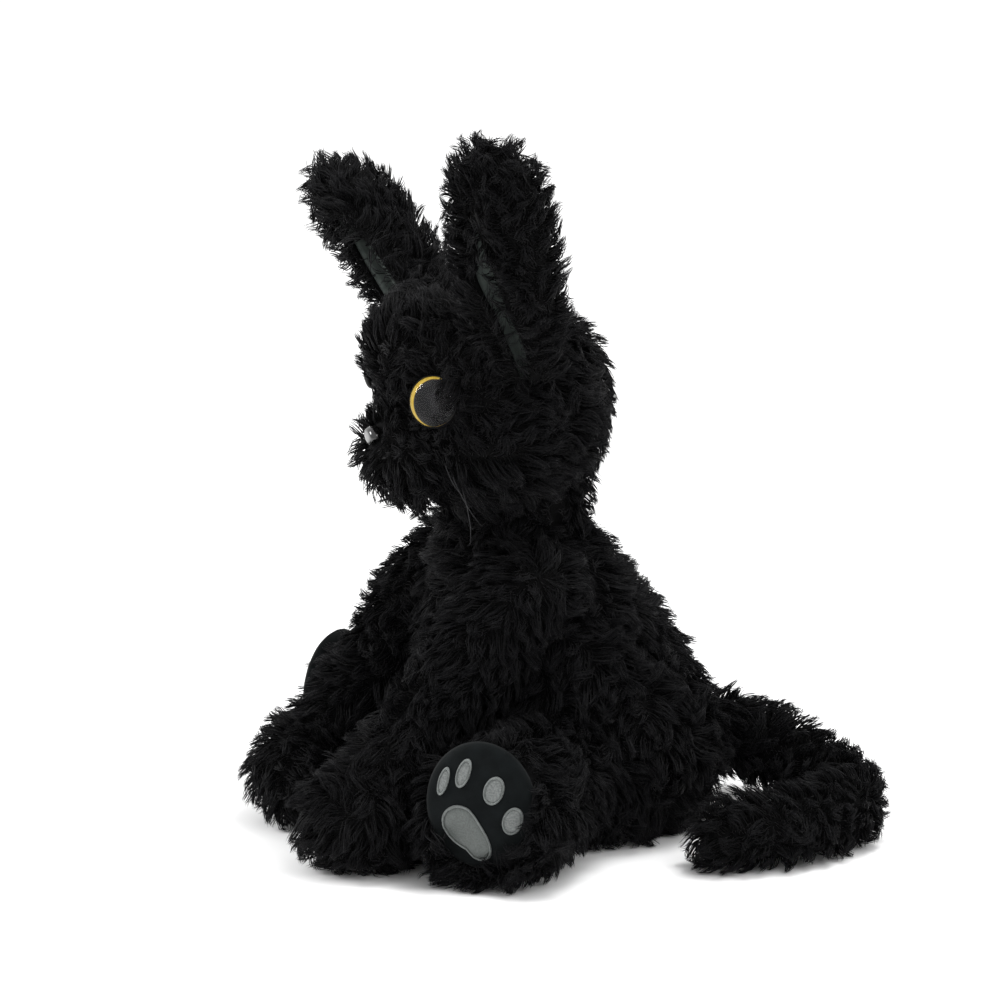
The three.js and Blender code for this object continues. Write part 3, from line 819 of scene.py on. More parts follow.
def add_base(name, nodes, **shape):
    """A body's backing, kept for the fur that grows on it and next to it."""
    ob = padded_base(f"{name}_backing", nodes, **shape)
    ob.data.materials.append(BACKING)
    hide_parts(*[node for node in nodes if node.endswith("_skin") or len(nodes) == 1])
    BASES[name] = ob
    TREES[name] = tree_of(ob)


SHOULDER_LENGTH = 38 * MM  # how much of an arm's top leans in to the trunk
SHOULDER_LEAN, SHOULDER_DROP = 13 * MM, 6 * MM  # how far its very top moves in, and down


def sloped_shoulder(side):
    """Leans the top of an arm in to the trunk."""
    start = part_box(f"{side}_arm_skin")[1][2] - SHOULDER_LENGTH

    def shape(co):
        share = np.clip((co[:, 2] - start) / SHOULDER_LENGTH, 0, 1) ** 2
        co[:, 0] -= HAND[side] * SHOULDER_LEAN * share
        co[:, 2] -= SHOULDER_DROP * share
        return co

    return shape


def build_soft_parts():
    add_base("body", ["body_skin"], seed=11, hull=True)
    add_base("neck", ["neck_stuffing"], sink=-8 * MM, seed=12)
    add_base("head", ["head_skin", "head_stuffing"], seed=13)
    for side in SIDES:
        arm = [f"{side}_arm_skin", f"{side}_arm_stuffing"]
        add_base(f"{side}_arm", arm, rounds=34, sink=1.6 * MM, seed=14, shape=sloped_shoulder(side))
        add_base(f"{side}_leg", [f"{side}_leg_skin", f"{side}_leg_stuffing"], rounds=7, seed=15)
    add_tail_bases()


TAIL_JOINTS = [np.array(JOINTS[name]["pos_m"]) for name in ("tail_root", "tail_middle", "tail_tip")]


def nearest_tail_joint(at):
    """Which tail joint each place lies nearest to, from 0."""
    gaps = [np.linalg.norm(at - joint, axis=1) for joint in TAIL_JOINTS]
    return np.argmin(gaps, axis=0)


def add_tail_bases():
    """One smooth tail, parted half way between its joints into one part for each joint."""
    nodes = [f"tail_{k}_{layer}" for k in (1, 2, 3) for layer in ("skin", "stuffing")]
    whole = padded_base("tail_backing", nodes, seed=16, lumps=0.5 * MM, sink=2.0 * MM)
    BASES["tail"] = whole
    TREES["tail"] = tree_of(whole)
    centres = np.array([polygon.center for polygon in whole.data.polygons])
    owner = nearest_tail_joint(centres)
    for k in (1, 2, 3):

        def keep_part(bm, k=k):
            bm.faces.ensure_lookup_table()
            bmesh.ops.delete(bm, geom=[f for f in bm.faces if owner[f.index] != k - 1], context="FACES")
            bmesh.ops.holes_fill(bm, edges=[edge for edge in bm.edges if edge.is_boundary], sides=0)

        mesh = whole.data.copy()
        mesh.name = f"tail_{k}_backing"
        edit_mesh(mesh, keep_part)
        shade_smooth(mesh)
        ob = new_object(f"tail_{k}_backing", mesh, BACKING)
        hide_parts(f"tail_{k}_skin")
        BASES[f"tail_{k}"] = ob


def tail_comb(at):
    """Along the tail, away from its root."""
    tip = points_of("tail_3_skin")
    tip = tip[np.argmax(np.linalg.norm(tip - TAIL_JOINTS[2], axis=1))]
    ways = unit(np.diff(np.array([TAIL_JOINTS[0], TAIL_JOINTS[1], TAIL_JOINTS[2], tip]), axis=0))
    near = nearest_tail_joint(at)
    behind = ways[np.maximum(near - 1, 0)]
    return unit(behind * 0.4 + ways[near])


def coat(name, seed, avoid, tag="", **style):
    """Fur over a base; it grows only outside the bases named in `avoid`."""
    style = {"area": AREA, "lock_area": LOCK_AREA, **style}
    pieces = grow_fur(f"{name}{tag}_fur", BASES[name], style, seed, [TREES[other] for other in avoid])
    return pieces


LIMB_PILE = 12 * MM


def clothe_trunk():
    around = ["left_arm", "right_arm", "left_leg", "right_leg", "neck", "tail"]
    body = coat("body", 21, around, where=above_floor, comb=body_comb, length=13.5 * MM)
    follow(body + [BASES["body"]], "root")
    neck = coat("neck", 22, ["body", "head"], comb=along((0, 0.2, -1)), length=LIMB_PILE)
    follow(neck + [BASES["neck"]], "neck")


def clothe_head():
    """The head's pile, and denser tufts behind the eyes that fall over their rear edge."""
    head = coat(
        "head", 23, ["neck"], where=on_face, lock_where=on_face,
        comb=face_comb, length=face_length, lay=face_lay, swirl=0.55,
    )
    behind = coat(
        "head", 29, [], tag="_behind_eyes", where=behind_eye, lock_where=behind_eye,
        area=AREA * 0.5, lock_area=9 * MM * MM, comb=over_eye, length=12.5 * MM,
        lay=0.05, swirl=0.2, clump=0.6,
    )
    follow(head + behind + [BASES["head"]], "head")


def clothe_arm(side):
    arm = coat(f"{side}_arm", 24, ["body"], where=above_floor, comb=along((0, -0.5, -1)), length=LIMB_PILE)
    follow(arm + [BASES[f"{side}_arm"]], f"{side}_arm", f"{side}_shoulder")


def clothe_leg(side):
    """The leg's pile, and a fringe round the sole that stands out past its edge and curls in over its top."""
    centre, outward, across, up = SOLES[side]
    curl_way = unit(0.45 * HAND[side] * across + up)

    def over_sole(at, margin=0.0):
        """How far out from the sole's middle, over its half size less a margin."""
        half_across, half_up = SOLE_HALF[side]
        gap = at - centre
        return np.hypot(gap @ across / (half_across - margin), gap @ up / (half_up - margin))

    def near_sole(at):
        """From 0 to 1 towards the edge of the sole."""
        return np.clip(((at - centre) @ outward + 16 * MM) / (9 * MM), 0, 1)

    def off_middle(at):
        """The way outwards along the sole's plane."""
        return unit(along_plane(at - centre, outward)[0])

    def lay(at):
        return near_sole(at) * np.clip(1.25 * (off_middle(at) @ curl_way) - 0.25, 0, 1)

    def comb(at):
        """Down and forwards along the leg; round the sole, out past its edge and over its top."""
        near = near_sole(at)[:, None]
        curl = (over_sole(at) > 0.6) * lay(at)
        out = outward - 0.45 * off_middle(at) * curl[:, None]
        return np.array((0, -0.6, -0.8)) * (1 - near) + 1.3 * out * near

    def over_edge(at):
        return outward - 0.7 * lay(at)[:, None] * off_middle(at)

    def length(at):
        return LIMB_PILE + 3.5 * MM * near_sole(at)

    def on_leg(at, normal):
        """True above the floor and not under the sole."""
        behind = (at - centre) @ outward < -12 * MM
        return above_floor(at, normal) & (behind | (over_sole(at, 1.0 * MM) > 1))

    def by_edge(at, normal):
        return on_leg(at, normal) & (near_sole(at) > 0.6)

    leg = coat(
        f"{side}_leg", 25, ["body"], where=on_leg, lock_where=on_leg, comb=comb, length=length, lay=lay
    )
    fringe = coat(
        f"{side}_leg", 27, ["body"], tag="_fringe", where=by_edge, lock_where=by_edge,
        area=AREA * 0.7, lock_area=12 * MM * MM, comb=over_edge, length=LIMB_PILE, lay=0.25, swirl=0.3,
    )
    follow(leg + fringe + [BASES[f"{side}_leg"]], f"{side}_leg", f"{side}_hip")


def clothe_tail():
    """Each part of the tail carries the pile that grows nearest to its own joint."""
    for k, joint in enumerate(("tail_root", "tail_middle", "tail_tip"), 1):

        def mine(at, normal, k=k):
            return above_floor(at, normal) & (nearest_tail_joint(at) == k - 1)

        tail = coat("tail", 31, ["body"], tag=f"_{k}", where=mine, comb=tail_comb, length=11.5 * MM)
        follow(tail + [BASES[f"tail_{k}"]], f"tail_{k}", joint)
    bpy.data.objects.remove(BASES.pop("tail"))


def clothe():
    """Grows the fur on every base; base and fur ride on the trunk, neck and head, while those of the arms, legs
    and tail are only fixed in place.
    """
    clothe_trunk()
    clothe_head()
    for side in SIDES:
        clothe_arm(side)
        clothe_leg(side)
    clothe_tail()


# ------------------------------------------------------------------ ears

EAR_ROWS, EAR_COLUMNS = 48, 56
EAR_HALF_WIDTH, EAR_HALF_DEPTH = 23.5 * MM, 16.5 * MM
BACK_INSETS = (3 * MM, 5.5 * MM)  # how far the backing's two faces lie inside the ear's outer form
LINING_INSETS = (5.7 * MM, 6.9 * MM)
EAR_SPAN, EAR_FOOT = 1.06, 0.08  # the ear's length over its reach, and the share of it below its root
EAR_REACH = {"left": 1.0, "right": 0.94}
EAR_FULLNESS = {"left": 1.0, "right": 0.97}
# How far forward of the straight line from root to tip the ear lies, in mm.
EAR_BOW = {"left": ((0, 0.5, 1), (0, 1.2, 5)), "right": ((0, 0.25, 0.6, 1), (8, 7, 2.5, 5))}
EAR_CREASE = 3.0 * MM  # depth of the fold in the lining
# The slit of each ear from its root (0) to its tip (1): which way it faces, towards the cat's left, and half
# its width, in degrees round the ear.
EAR_SLIT = {
    "left": [
        (0, 34, 9), (0.14, 25, 14), (0.3, 8, 12), (0.45, -14, 22), (0.56, -12, 11), (0.75, -24, 5),
        (1, -34, 3),
    ],
    "right": [(0, 80, 22), (0.2, 80, 33), (0.45, 82, 27), (0.6, 78, 13), (0.8, 60, 5), (1, 50, 3)],
}


def ear_axes(side):
    """The ear's root, the way it points, the way its hollow faces, and the way across it."""
    back = points_of(f"{side}_ear_back")
    pivot = np.array(JOINTS[f"{side}_ear_fold"]["pos_m"])
    lining = points_of(f"{side}_ear_lining")
    reach = np.linalg.norm(back - pivot, axis=1)
    rise = unit(back[reach > reach.max() * 0.97].mean(0) - pivot)
    across = unit(JOINTS[f"{side}_ear_fold"]["axis"])
    across = unit(across - (across @ rise) * rise)
    front = np.cross(across, rise)
    if front @ (lining.mean(0) - back.mean(0)) < 0:
        front = -front
    return pivot, rise, front, np.cross(rise, front), float(reach.max())


def ear_surface(side, inset, slit=True):
    """Rows of points over the rolled ear, `inset` inside its outer face.

    An S-shaped slit is left in front, or else the surface goes right round with a crease in front.
    """
    root, rise, front, across, reach = ear_axes(side)
    stops, facing, spread = zip(*EAR_SLIT[side])
    rows = []
    for i in range(EAR_ROWS + 1):
        v = i / EAR_ROWS
        round_top = max(0.0, 1 - max(0.0, (v - 0.62) / 0.38) ** 2.6) ** 0.5
        round_foot = 0.72 + 0.28 * min(1.0, v / 0.3)
        full = EAR_FULLNESS[side] * round_top * round_foot
        half_width = max(EAR_HALF_WIDTH * full - inset, 0.25 * MM)
        half_depth = max(EAR_HALF_DEPTH * full - inset, 0.25 * MM)
        turn = math.radians(np.interp(v, stops, facing))
        open_half = math.radians(np.interp(v, stops, spread))
        centre = root + rise * (reach * (v * EAR_SPAN * EAR_REACH[side] - EAR_FOOT))
        centre = centre + front * (np.interp(v, *EAR_BOW[side]) * MM)
        row = []
        for j in range(EAR_COLUMNS + 1):
            share = j / EAR_COLUMNS
            if slit:
                angle = turn + open_half + (2 * math.pi - 2 * open_half) * share
                scale = 1.0
            else:
                off = (share - 0.5) * (2 * math.pi - 0.02)
                angle = turn + off
                crease = min(0.4, EAR_CREASE / half_depth)
                scale = 1 - crease * math.exp(-(((off - 0.1) / 0.22) ** 2))
            way = across * half_width * math.sin(angle) + front * half_depth * math.cos(angle)
            row.append(centre + way * scale)
        rows.append(row)
    return np.array(rows)


def sheet_mesh(name, outer, inner):
    """A closed sheet between two grids of points, with its rim faces."""
    rows, columns = outer.shape[:2]
    verts = np.concatenate([outer.reshape(-1, 3), inner.reshape(-1, 3)])
    shift = rows * columns
    faces = []

    def at(i, j):
        return i * columns + j

    for i in range(rows - 1):
        for j in range(columns - 1):
            quad = (at(i, j), at(i, j + 1), at(i + 1, j + 1), at(i + 1, j))
            faces.append(quad)
            faces.append(tuple(k + shift for k in reversed(quad)))
    rim = [at(0, j) for j in range(columns)] + [at(i, columns - 1) for i in range(1, rows)]
    rim += [at(rows - 1, j) for j in range(columns - 2, -1, -1)] + [at(i, 0) for i in range(rows - 2, 0, -1)]
    for k, a in enumerate(rim):
        b = rim[(k + 1) % len(rim)]
        faces.append((b, a, a + shift, b + shift))
    return closed_mesh(name, verts, faces)


def add_ear(side):
    """The furred back of an ear, and the smooth lining that shows through its slit."""
    outer, inner = (ear_surface(side, inset) for inset in BACK_INSETS)
    back = new_object(f"{side}_ear_backing", sheet_mesh(f"{side}_ear_backing", outer, inner), BACKING)
    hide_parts(f"{side}_ear_back")
    outer, inner = (ear_surface(side, inset, slit=False) for inset in LINING_INSETS)
    lining = new_object(f"{side}_ear_suede", sheet_mesh(f"{side}_ear_suede", outer, inner), EAR_SUEDE)
    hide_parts(f"{side}_ear_lining")
    root, rise, front, across, reach = ear_axes(side)
    stops, facing, spread = zip(*EAR_SLIT[side])

    def comb(at):
        """Up the ear, and back from the slit beside it."""
        gap = at - root
        v = (gap @ rise / reach + EAR_FOOT) / (EAR_SPAN * EAR_REACH[side])
        angle = np.arctan2(gap @ across, gap @ front)
        off = (angle - np.radians(np.interp(v, stops, facing)) + math.pi) % (2 * math.pi) - math.pi
        edge = np.radians(np.interp(v, stops, spread))
        near = np.clip(1 - (np.abs(off) - edge) / 0.6, 0, 1) * np.sign(off)
        round_it = np.outer(np.cos(angle), across) - np.outer(np.sin(angle), front)
        return rise + 1.6 * near[:, None] * round_it

    def outside(at, normal):
        """Only the outer face and the rim carry fur."""
        return (normal * along_plane(at - root, rise)[0]).sum(1) > 0

    BASES[f"{side}_ear"] = back
    fur = coat(
        f"{side}_ear", 41, ["head"], where=outside, area=AREA * 0.9, lock_area=LOCK_AREA * 0.8,
        comb=comb, length=10.5 * MM, swirl=0.5, split_along=tuple(rise),
    )
    follow(fur + [back, lining], f"{side}_ear", f"{side}_ear_fold")


# ------------------------------------------------------------------ eyes, nose and whiskers


def lathe(name, profile, material, sides=96, matrix=None, stretch=(1, 1)):
    """A closed piece turned about its own Z axis, from (radius, height) points, the first and last on it."""
    verts = [(0, 0, profile[0][1])]
    for radius, height in profile[1:-1]:
        wide, tall = radius * stretch[0], radius * stretch[1]
        verts += [(wide * math.cos(a), tall * math.sin(a), height) for a in round_angles(sides)]
    verts.append((0, 0, profile[-1][1]))
    return new_object(name, closed_mesh(name, verts, capped_rings(len(profile) - 2, sides), matrix), material)


def dome_points(radius, low, height, steps=14):
    """A quarter round from the edge up to the axis."""
    turns = [i / steps * math.pi / 2 for i in range(steps)]
    return [(radius * math.cos(t), low + height * math.sin(t)) for t in turns] + [(0, low + height)]


EYE_RIM = 0.6 * MM  # width of the black rim round the eye
LENS_RISE = 4.2 * MM


def add_eye(side):
    """A rimmed cup, the painted disc in it, and the clear dome over that."""
    centre, normal, across, up = EYES[side]
    place = centre - normal * EYE_SINK + across * HAND[side] * EYE_SHIFT - up * EYE_DROP
    matrix = frame_matrix(place, normal, across, up)
    radius = EYE_RADIUS[side]
    well = radius - EYE_RIM
    cup = lathe(f"{side}_eye_rim", [
        (0, -1.6 * MM), (radius * 0.9, -1.6 * MM), (radius, -0.9 * MM), (radius, 0.6 * MM),
        (radius - 0.3 * MM, 1.1 * MM), (well + 0.15 * MM, 1.25 * MM), (well, 0.9 * MM), (well, -0.5 * MM),
        (0, -0.5 * MM),
    ], RIM_PLASTIC, matrix=matrix)
    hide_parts(f"{side}_eye_cup")
    iris = iris_disc(f"{side}_eye_disc", well - 0.1 * MM, matrix, HAND[side])
    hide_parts(f"{side}_eye_iris")
    edge = well - 0.15 * MM
    profile = [(0, -0.15 * MM), (edge, -0.15 * MM)] + dome_points(edge, 0.9 * MM, LENS_RISE)
    lens = lathe(f"{side}_eye_dome", profile, CLEAR, matrix=matrix)
    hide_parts(f"{side}_eye_lens")
    for ob in (cup, iris, lens):
        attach(ob, "head")


def iris_disc(name, radius, matrix, hand):
    """A thin painted disc, dished a little, that carries its paint's coordinates at its points."""
    rings, sides = 40, 120
    rng = np.random.default_rng(5)
    streak = np.convolve(rng.uniform(0, 1, sides + 6), np.ones(3) / 3, "same")[:sides]
    verts, paint = [(0, 0, -0.05 * MM)], [(0.0, 0.5)]
    for ring in range(1, rings + 1):
        share = ring / rings
        for angle, tone in zip(round_angles(sides), streak):
            x, y = share * math.cos(angle), share * math.sin(angle)
            verts.append((radius * x, radius * y, 0.05 * MM * share))
            off_pupil = math.hypot(x - hand * PUPIL_SHIFT, y + PUPIL_SHIFT / 2)
            paint.append((off_pupil, 0.6 * tone + 0.4 * share))
    for angle in round_angles(sides):
        verts.append((radius * math.cos(angle), radius * math.sin(angle), -0.4 * MM))
        paint.append((1.0, 0.5))
    verts.append((0, 0, -0.4 * MM))
    paint.append((0.0, 0.5))
    mesh = closed_mesh(name, verts, capped_rings(rings + 1, sides), matrix)
    for key, values in zip(("radius_share", "streak"), zip(*paint)):
        mesh.attributes.new(key, "FLOAT", "POINT").data.foreach_set("value", np.array(values, np.float32))
    return new_object(name, mesh, IRIS)


NOSE_SINK = 5.0 * MM  # how far the visible nose is drawn into the fur
NOSE_DEPTH = 3.4 * MM


def add_nose():
    """A low dome, narrower towards its lower end."""
    centre = np.array((NOSE_MIDDLE[0], NOSE_LOW[1] + NOSE_DEPTH + NOSE_SINK, NOSE_MIDDLE[2]))
    profile = [(0, -3 * MM), (0.9, -3 * MM), (1, 0)]
    shares = (0.98, 0.95, 0.9, 0.84, 0.76, 0.66, 0.54, 0.4, 0.2)
    profile += [(share, NOSE_DEPTH * (1 - share**5) ** 0.45) for share in shares]
    profile.append((0, NOSE_DEPTH))
    nose = lathe("nose_button", profile, BLACK_PLASTIC, sides=72, stretch=NOSE_HALF)
    for v in nose.data.vertices:
        v.co.x *= 1 - 0.55 * max(0.0, -v.co.y / NOSE_HALF[1])
    nose.data.transform(frame_matrix(centre, (0, -1, 0), (1, 0, 0), (0, 0, 1)))
    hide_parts("nose")
    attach(nose, "head")


WHISKER_SHARE = {1: 0.8, 2: 0.85, 3: 0.75}  # how much of each whisker shows as a straight reach
WHISKER_FALL = {1: 0.0, 2: 10 * MM, 3: 0.0}  # how far forward its end hangs
WHISKER_RADIUS = 0.15 * MM  # at its root


def add_whiskers(side):
    """Tapering hairs along the CAD whiskers, bowed as they are."""
    steps, sides = 24, 8
    for k in (1, 2, 3):
        p = points_of(f"{side}_whisker_{k}")
        start = p[np.argmin(np.linalg.norm(p - HEAD_MIDDLE, axis=1))]
        reach = np.linalg.norm(p - start, axis=1)
        end = p[np.argmax(reach)]
        centre = p[np.argsort(np.abs(reach - reach.max() / 2))[:10]].mean(0)
        root = start + unit(HEAD_MIDDLE - start) * 3 * MM
        forward = np.array((0, -WHISKER_FALL[k], 0))
        end = root + (end - root) * WHISKER_SHARE[k] + forward
        centre = root + (centre - root) * WHISKER_SHARE[k] + 0.3 * forward
        bow = centre * 2 - (root + end) / 2
        shares = [i / steps for i in range(steps + 1)]
        line = [(1 - t) ** 2 * root + 2 * t * (1 - t) * bow + t * t * end for t in shares]
        radii = [WHISKER_RADIUS * (1 - 0.6 * t * t) for t in shares]
        name = f"{side}_whisker_hair_{k}"
        points = tube_points(line, radii, sides, (0.3, 0.2, 0.9))
        hair = new_object(name, closed_mesh(name, points, capped_rings(steps + 1, sides)), NYLON)
        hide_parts(f"{side}_whisker_{k}")
        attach(hair, "head")


# ------------------------------------------------------------------ soles


SOLE_SINK = 2.6 * MM  # how far the visible sole is drawn into the fur round it
SOLE_FOOT = 0.84  # the sole's hidden underside over its face
# Outline of the main pad for the left foot, in mm across and up from its middle: a bean that leans outwards.
MAIN_OUTLINE = [
    (-2.6, 12.2), (-5.8, 11.6), (-8.9, 9.4), (-10.6, 6.2), (-10.3, 2.2), (-8.2, -1.4), (-5.2, -4.3),
    (-2.0, -6.2), (0.4, -7.2), (1.6, -9.2), (3.6, -11.0), (6.6, -11.8), (9.4, -10.6), (10.6, -7.8),
    (10.2, -4.0), (8.6, 0.2), (6.2, 4.4), (3.8, 8.2), (1.2, 11.2),
]


def main_radii(side, count=180):
    """How far the main pad's edge lies from its middle in each of `count` directions."""
    loop = np.array([(HAND[side] * x, y) for x, y in MAIN_OUTLINE])
    steps = np.linspace(0, 1, 24, endpoint=False)[:, None]
    dense = np.concatenate([a + (b - a) * steps for a, b in zip(loop, np.roll(loop, -1, axis=0))])
    angles = np.arctan2(dense[:, 1], dense[:, 0])
    radii = np.hypot(dense[:, 0], dense[:, 1])
    order = np.argsort(angles)
    grid = np.linspace(-math.pi, math.pi, count, endpoint=False)
    found = np.interp(grid, angles[order], radii[order], period=2 * math.pi)
    kernel = np.ones(7) / 7
    return np.convolve(np.concatenate([found[-6:], found, found[:6]]), kernel, "same")[6:-6]


class Outline:
    """A pad's place in the sole's own frame, and its edge: an ellipse, or the main pad's bean."""

    def __init__(self, node, side, inverse):
        p = np.array([inverse @ Vector(q) for q in points_of(node)])[:, :2]
        self.centre = (p.min(0) + p.max(0)) / 2
        flat = p - self.centre
        _, axes = np.linalg.eigh(np.cov(flat.T))
        self.long_way = axes[:, 1]
        self.wide_way = np.array((-self.long_way[1], self.long_way[0]))
        self.half = [float(np.abs(flat @ way).max()) for way in (self.wide_way, self.long_way)]
        self.radii = None
        if node.endswith("main_pad"):
            self.radii = main_radii(side) * MM
            self.wide_way, self.long_way = np.eye(2)

    def at(self, share, angle):
        """The place at a share of the way to the edge, and how far it lies across the threads."""
        wide, tall = self.half
        if self.radii is not None:
            place = (angle + math.pi) / (2 * math.pi) * len(self.radii)
            low = math.floor(place)
            near, far = (self.radii[k % len(self.radii)] for k in (low, low + 1))
            wide = tall = near + (far - near) * (place - low)
        u, w = share * wide * math.cos(angle), share * tall * math.sin(angle)
        x, y = self.centre + u * self.wide_way + w * self.long_way
        return x, y, w + 0.25 * u


PAD_RISE = 0.75 * MM  # how far a pad's middle stands above the sole
THREAD_PITCH = 1.1 * MM  # from groove to groove
STITCH_WIDTH, STITCH_PITCH = 0.85 * MM, 0.5 * MM  # of the rope edge
STITCH_RADIUS = 0.27 * MM


def pad_piece(name, outline, matrix, dome_at):
    """A raised satin-stitch pad: a low dome grooved between its threads, inside a rope edge."""
    rings, sides = 26, 120

    def place(share, angle, lift):
        x, y, across = outline.at(share, angle)
        groove = 0.5 - 0.5 * math.cos(2 * math.pi * across / THREAD_PITCH)
        return (x, y, dome_at(x, y) + lift * (1 - 0.12 * groove))

    verts = [place(0, 0, PAD_RISE)]
    for ring in range(1, rings + 1):
        share = ring / rings
        lift = PAD_RISE * (1 - share**6) + 0.05 * MM
        verts += [place(share, angle - math.pi, lift) for angle in round_angles(sides)]
    foot = [place(1.0, angle - math.pi, 0) for angle in round_angles(sides)] + [place(0, 0, 0)]
    verts += [(x, y, z - 0.3 * MM) for x, y, z in foot]
    mesh = closed_mesh(name, verts, capped_rings(rings + 1, sides), matrix)
    return new_object(name, mesh, TOE_THREAD if outline.radii is None else THREAD)


def edge_stitches(name, outline, matrix, dome_at):
    """Short slanting stitches side by side round a pad's edge, as closed threads."""
    half = outline.half
    count = max(24, int(2 * math.pi * math.hypot(*half) / math.sqrt(2) / STITCH_PITCH))
    lean = 1.2 * math.pi / count
    steps, sides = 5, 6
    stitch = capped_rings(steps, sides)
    verts, faces = [], []
    for angle in round_angles(count):
        line = []
        for t in np.linspace(0, 1, steps):
            share = 1 + (t - 0.5) * STITCH_WIDTH / (sum(half) / 2)
            x, y, _ = outline.at(share, angle - math.pi + lean * (t - 0.5))
            line.append((x, y, dome_at(x, y) + (0.25 + 0.72 * math.sin(math.pi * t)) * MM))
        radii = [STITCH_RADIUS * (0.75 if i in (0, steps - 1) else 1.0) for i in range(steps)]
        faces += [tuple(corner + len(verts) for corner in face) for face in stitch]
        verts += tube_points(line, radii, sides, (0, 0, 1), flat=0.8)
    return new_object(name, closed_mesh(name, verts, faces, matrix), EDGE_THREAD)


def add_sole(side):
    """The suede sole, a shallow dome with a rolled seam, and its embroidered paw print."""
    centre, normal, across, up = SOLES[side]
    half_across, half_up = SOLE_HALF[side]
    heights = (points_of(f"{side}_sole") - centre) @ normal
    top, low = float(heights.max()), float(heights.min())
    rise = top - low - 1.6 * MM
    matrix = frame_matrix(centre - normal * SOLE_SINK, normal, across, up)
    wrinkle = Waves(51, 22 * MM, outputs=1)

    def dome_at(x, y):
        share = min(1.0, (x / half_across) ** 2 + (y / half_up) ** 2)
        soft = float(wrinkle(np.array([[x, y, 0.0]]))[0, 0]) * 0.3 * MM
        return top - rise * share + soft * (1 - share)

    rings, sides = 30, 120
    verts = [(0, 0, dome_at(0, 0))]
    for ring in range(1, rings + 1):
        share = ring / rings
        seam = 2.2 * MM * max(0.0, (share - 0.9) / 0.1) ** 2
        for angle in round_angles(sides):
            x, y = share * half_across * math.cos(angle), share * half_up * math.sin(angle)
            verts.append((x, y, dome_at(x, y) - seam))
    wide, tall, foot = SOLE_FOOT * half_across, SOLE_FOOT * half_up, low - 4 * MM
    verts += [(wide * math.cos(angle), tall * math.sin(angle), foot) for angle in round_angles(sides)]
    verts.append((0, 0, foot))
    name = f"{side}_sole_suede"
    sole = new_object(name, closed_mesh(name, verts, capped_rings(rings + 1, sides), matrix), SOLE_SUEDE)
    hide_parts(f"{side}_sole")
    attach(sole, f"{side}_leg")
    for node in [f"{side}_toe_pad_{k}" for k in (1, 2, 3, 4)] + [f"{side}_main_pad"]:
        outline = Outline(node, side, matrix.inverted())
        pad = pad_piece(f"{node}_stitch", outline, matrix, dome_at)
        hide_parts(node)
        border = edge_stitches(f"{node}_border", outline, matrix, dome_at)
        for ob in (pad, border):
            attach(ob, f"{side}_leg")


# ------------------------------------------------------------------ what the skins hold


def fill_piece(node, material):
    """A lumpy version of a hidden stuffing solid."""
    ob = padded_base(f"{node}_fill", [node], voxel=3.5 * MM, rounds=6, sink=4.5 * MM, lumps=0.9 * MM, seed=61)
    ob.data.materials.append(material)
    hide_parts(node)
    return ob


def add_fillings():
    """Fill and pellet bag inside the skins, and the colour of the washers."""
    for body, nodes in frame["record"]["behaviour"]["bodies"].items():
        for node in nodes:
            if node.endswith("_stuffing") and node != "neck_stuffing":
                ob = fill_piece(node, FIBRE)
                follow([ob], body, SOFT_JOINTS.get(body))
            elif node == "pellet_bag":
                ob = fill_piece(node, PELLET_CLOTH)
                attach(ob, body)
            elif node.endswith("_washer"):
                frame["nodes"][node].material_slots[0].material = WASHER


# ------------------------------------------------------------------ studio


def area_light(name, place, target, size, power):
    data = bpy.data.lights.new(name, "AREA")
    data.shape = "DISK"
    data.size = size
    data.energy = power
    ob = new_object(name, data)
    ob.location = place
    ob.rotation_euler = (Vector(target) - Vector(place)).to_track_quat("-Z", "Y").to_euler()


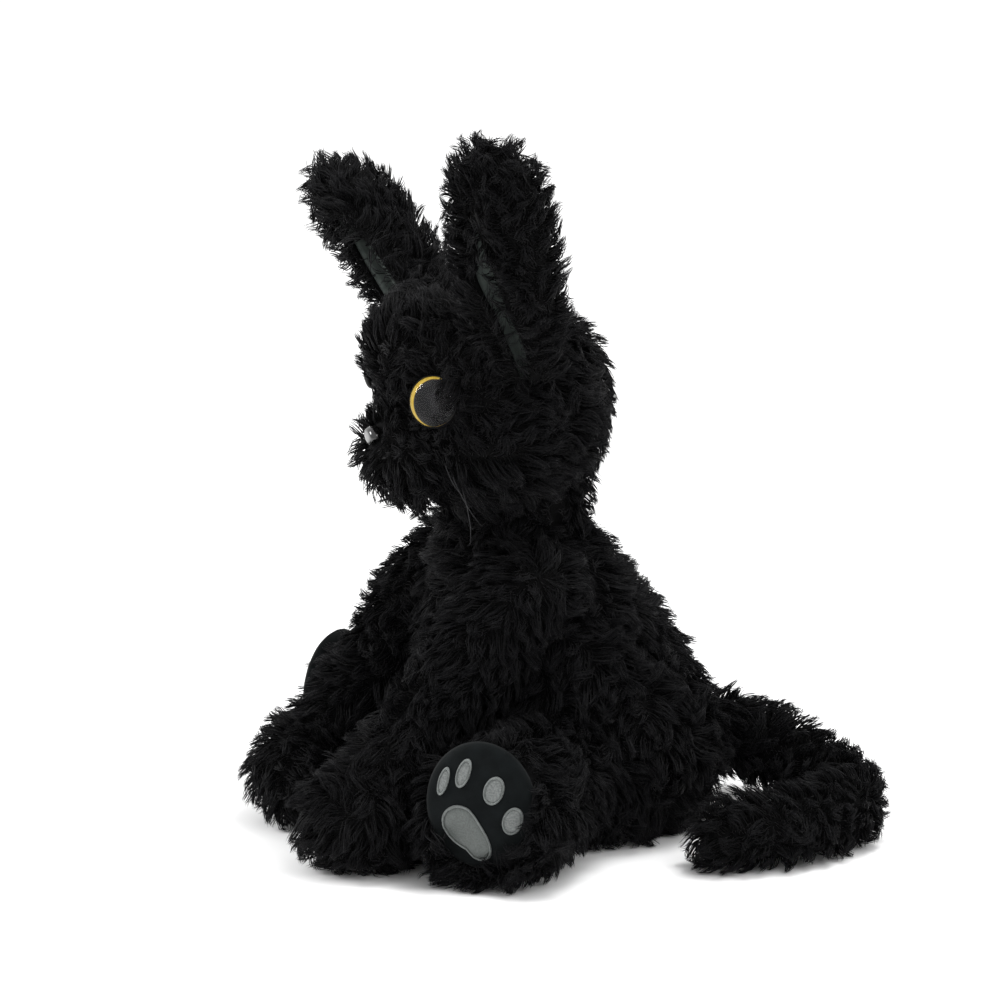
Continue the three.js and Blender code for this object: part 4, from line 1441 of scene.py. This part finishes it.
CAMERA_AZIMUTH, CAMERA_ELEVATION = 70.0, 15.0
CAMERA_LENS, CAMERA_SENSOR = 400.0, 36.0
VIEW_WIDTH = 0.437  # how much the picture shows across, at the cat
VIEW_MIDDLE = (-0.0262, 0.1377)  # the picture's middle from the frame's origin: to the right, and up
FLOOR_HALF = 30.0


def build_studio():
    scene = bpy.context.scene
    a, e = math.radians(CAMERA_AZIMUTH), math.radians(CAMERA_ELEVATION)
    back = Vector((math.sin(a) * math.cos(e), -math.cos(a) * math.cos(e), math.sin(e)))
    right = Vector((math.cos(a), math.sin(a), 0))
    up = back.cross(right)
    target = right * VIEW_MIDDLE[0] + up * VIEW_MIDDLE[1]
    reach = VIEW_WIDTH * CAMERA_LENS / CAMERA_SENSOR
    data = bpy.data.cameras.new("camera")
    data.lens = CAMERA_LENS
    data.sensor_width = CAMERA_SENSOR
    camera = new_object("camera", data)
    camera.location = target + back * reach
    camera.rotation_mode = "QUATERNION"
    camera.rotation_quaternion = (-back).to_track_quat("-Z", "Y")
    scene.camera = camera

    material, _, _ = new_material(
        "pale_floor", Base_Color=(0.93, 0.93, 0.93, 1), Roughness=0.9, Specular_IOR_Level=0.1
    )
    mesh = bpy.data.meshes.new("floor")
    corners = [(FLOOR_HALF * x, FLOOR_HALF * y, 0) for x, y in ((-1, -1), (1, -1), (1, 1), (-1, 1))]
    mesh.from_pydata(corners, [], [(0, 1, 2, 3)])
    floor = new_object("floor", mesh, material)

    world = bpy.data.worlds.new("studio")
    world.use_nodes = True
    set_inputs(world.node_tree.nodes["Background"], {"Color": (1, 1, 1, 1), "Strength": 1.0})
    scene.world = world
    area_light("key", (-0.55, -1.15, 0.75), (0, 0, 0.18), 0.5, 13)
    area_light("fill", (1.3, 0.5, 1.3), (0, 0, 0.15), 1.0, 8)
    area_light("top", (0.1, 0.4, 1.5), (0, 0, 0.15), 0.7, 14)
    scene.view_settings.view_transform = "Standard"
    scene.view_settings.look = "None"


# ------------------------------------------------------------------ the cat

build_studio()
build_soft_parts()
clothe()
for SIDE in SIDES:
    add_ear(SIDE)
    add_eye(SIDE)
    add_whiskers(SIDE)
    add_sole(SIDE)
add_nose()
add_fillings()
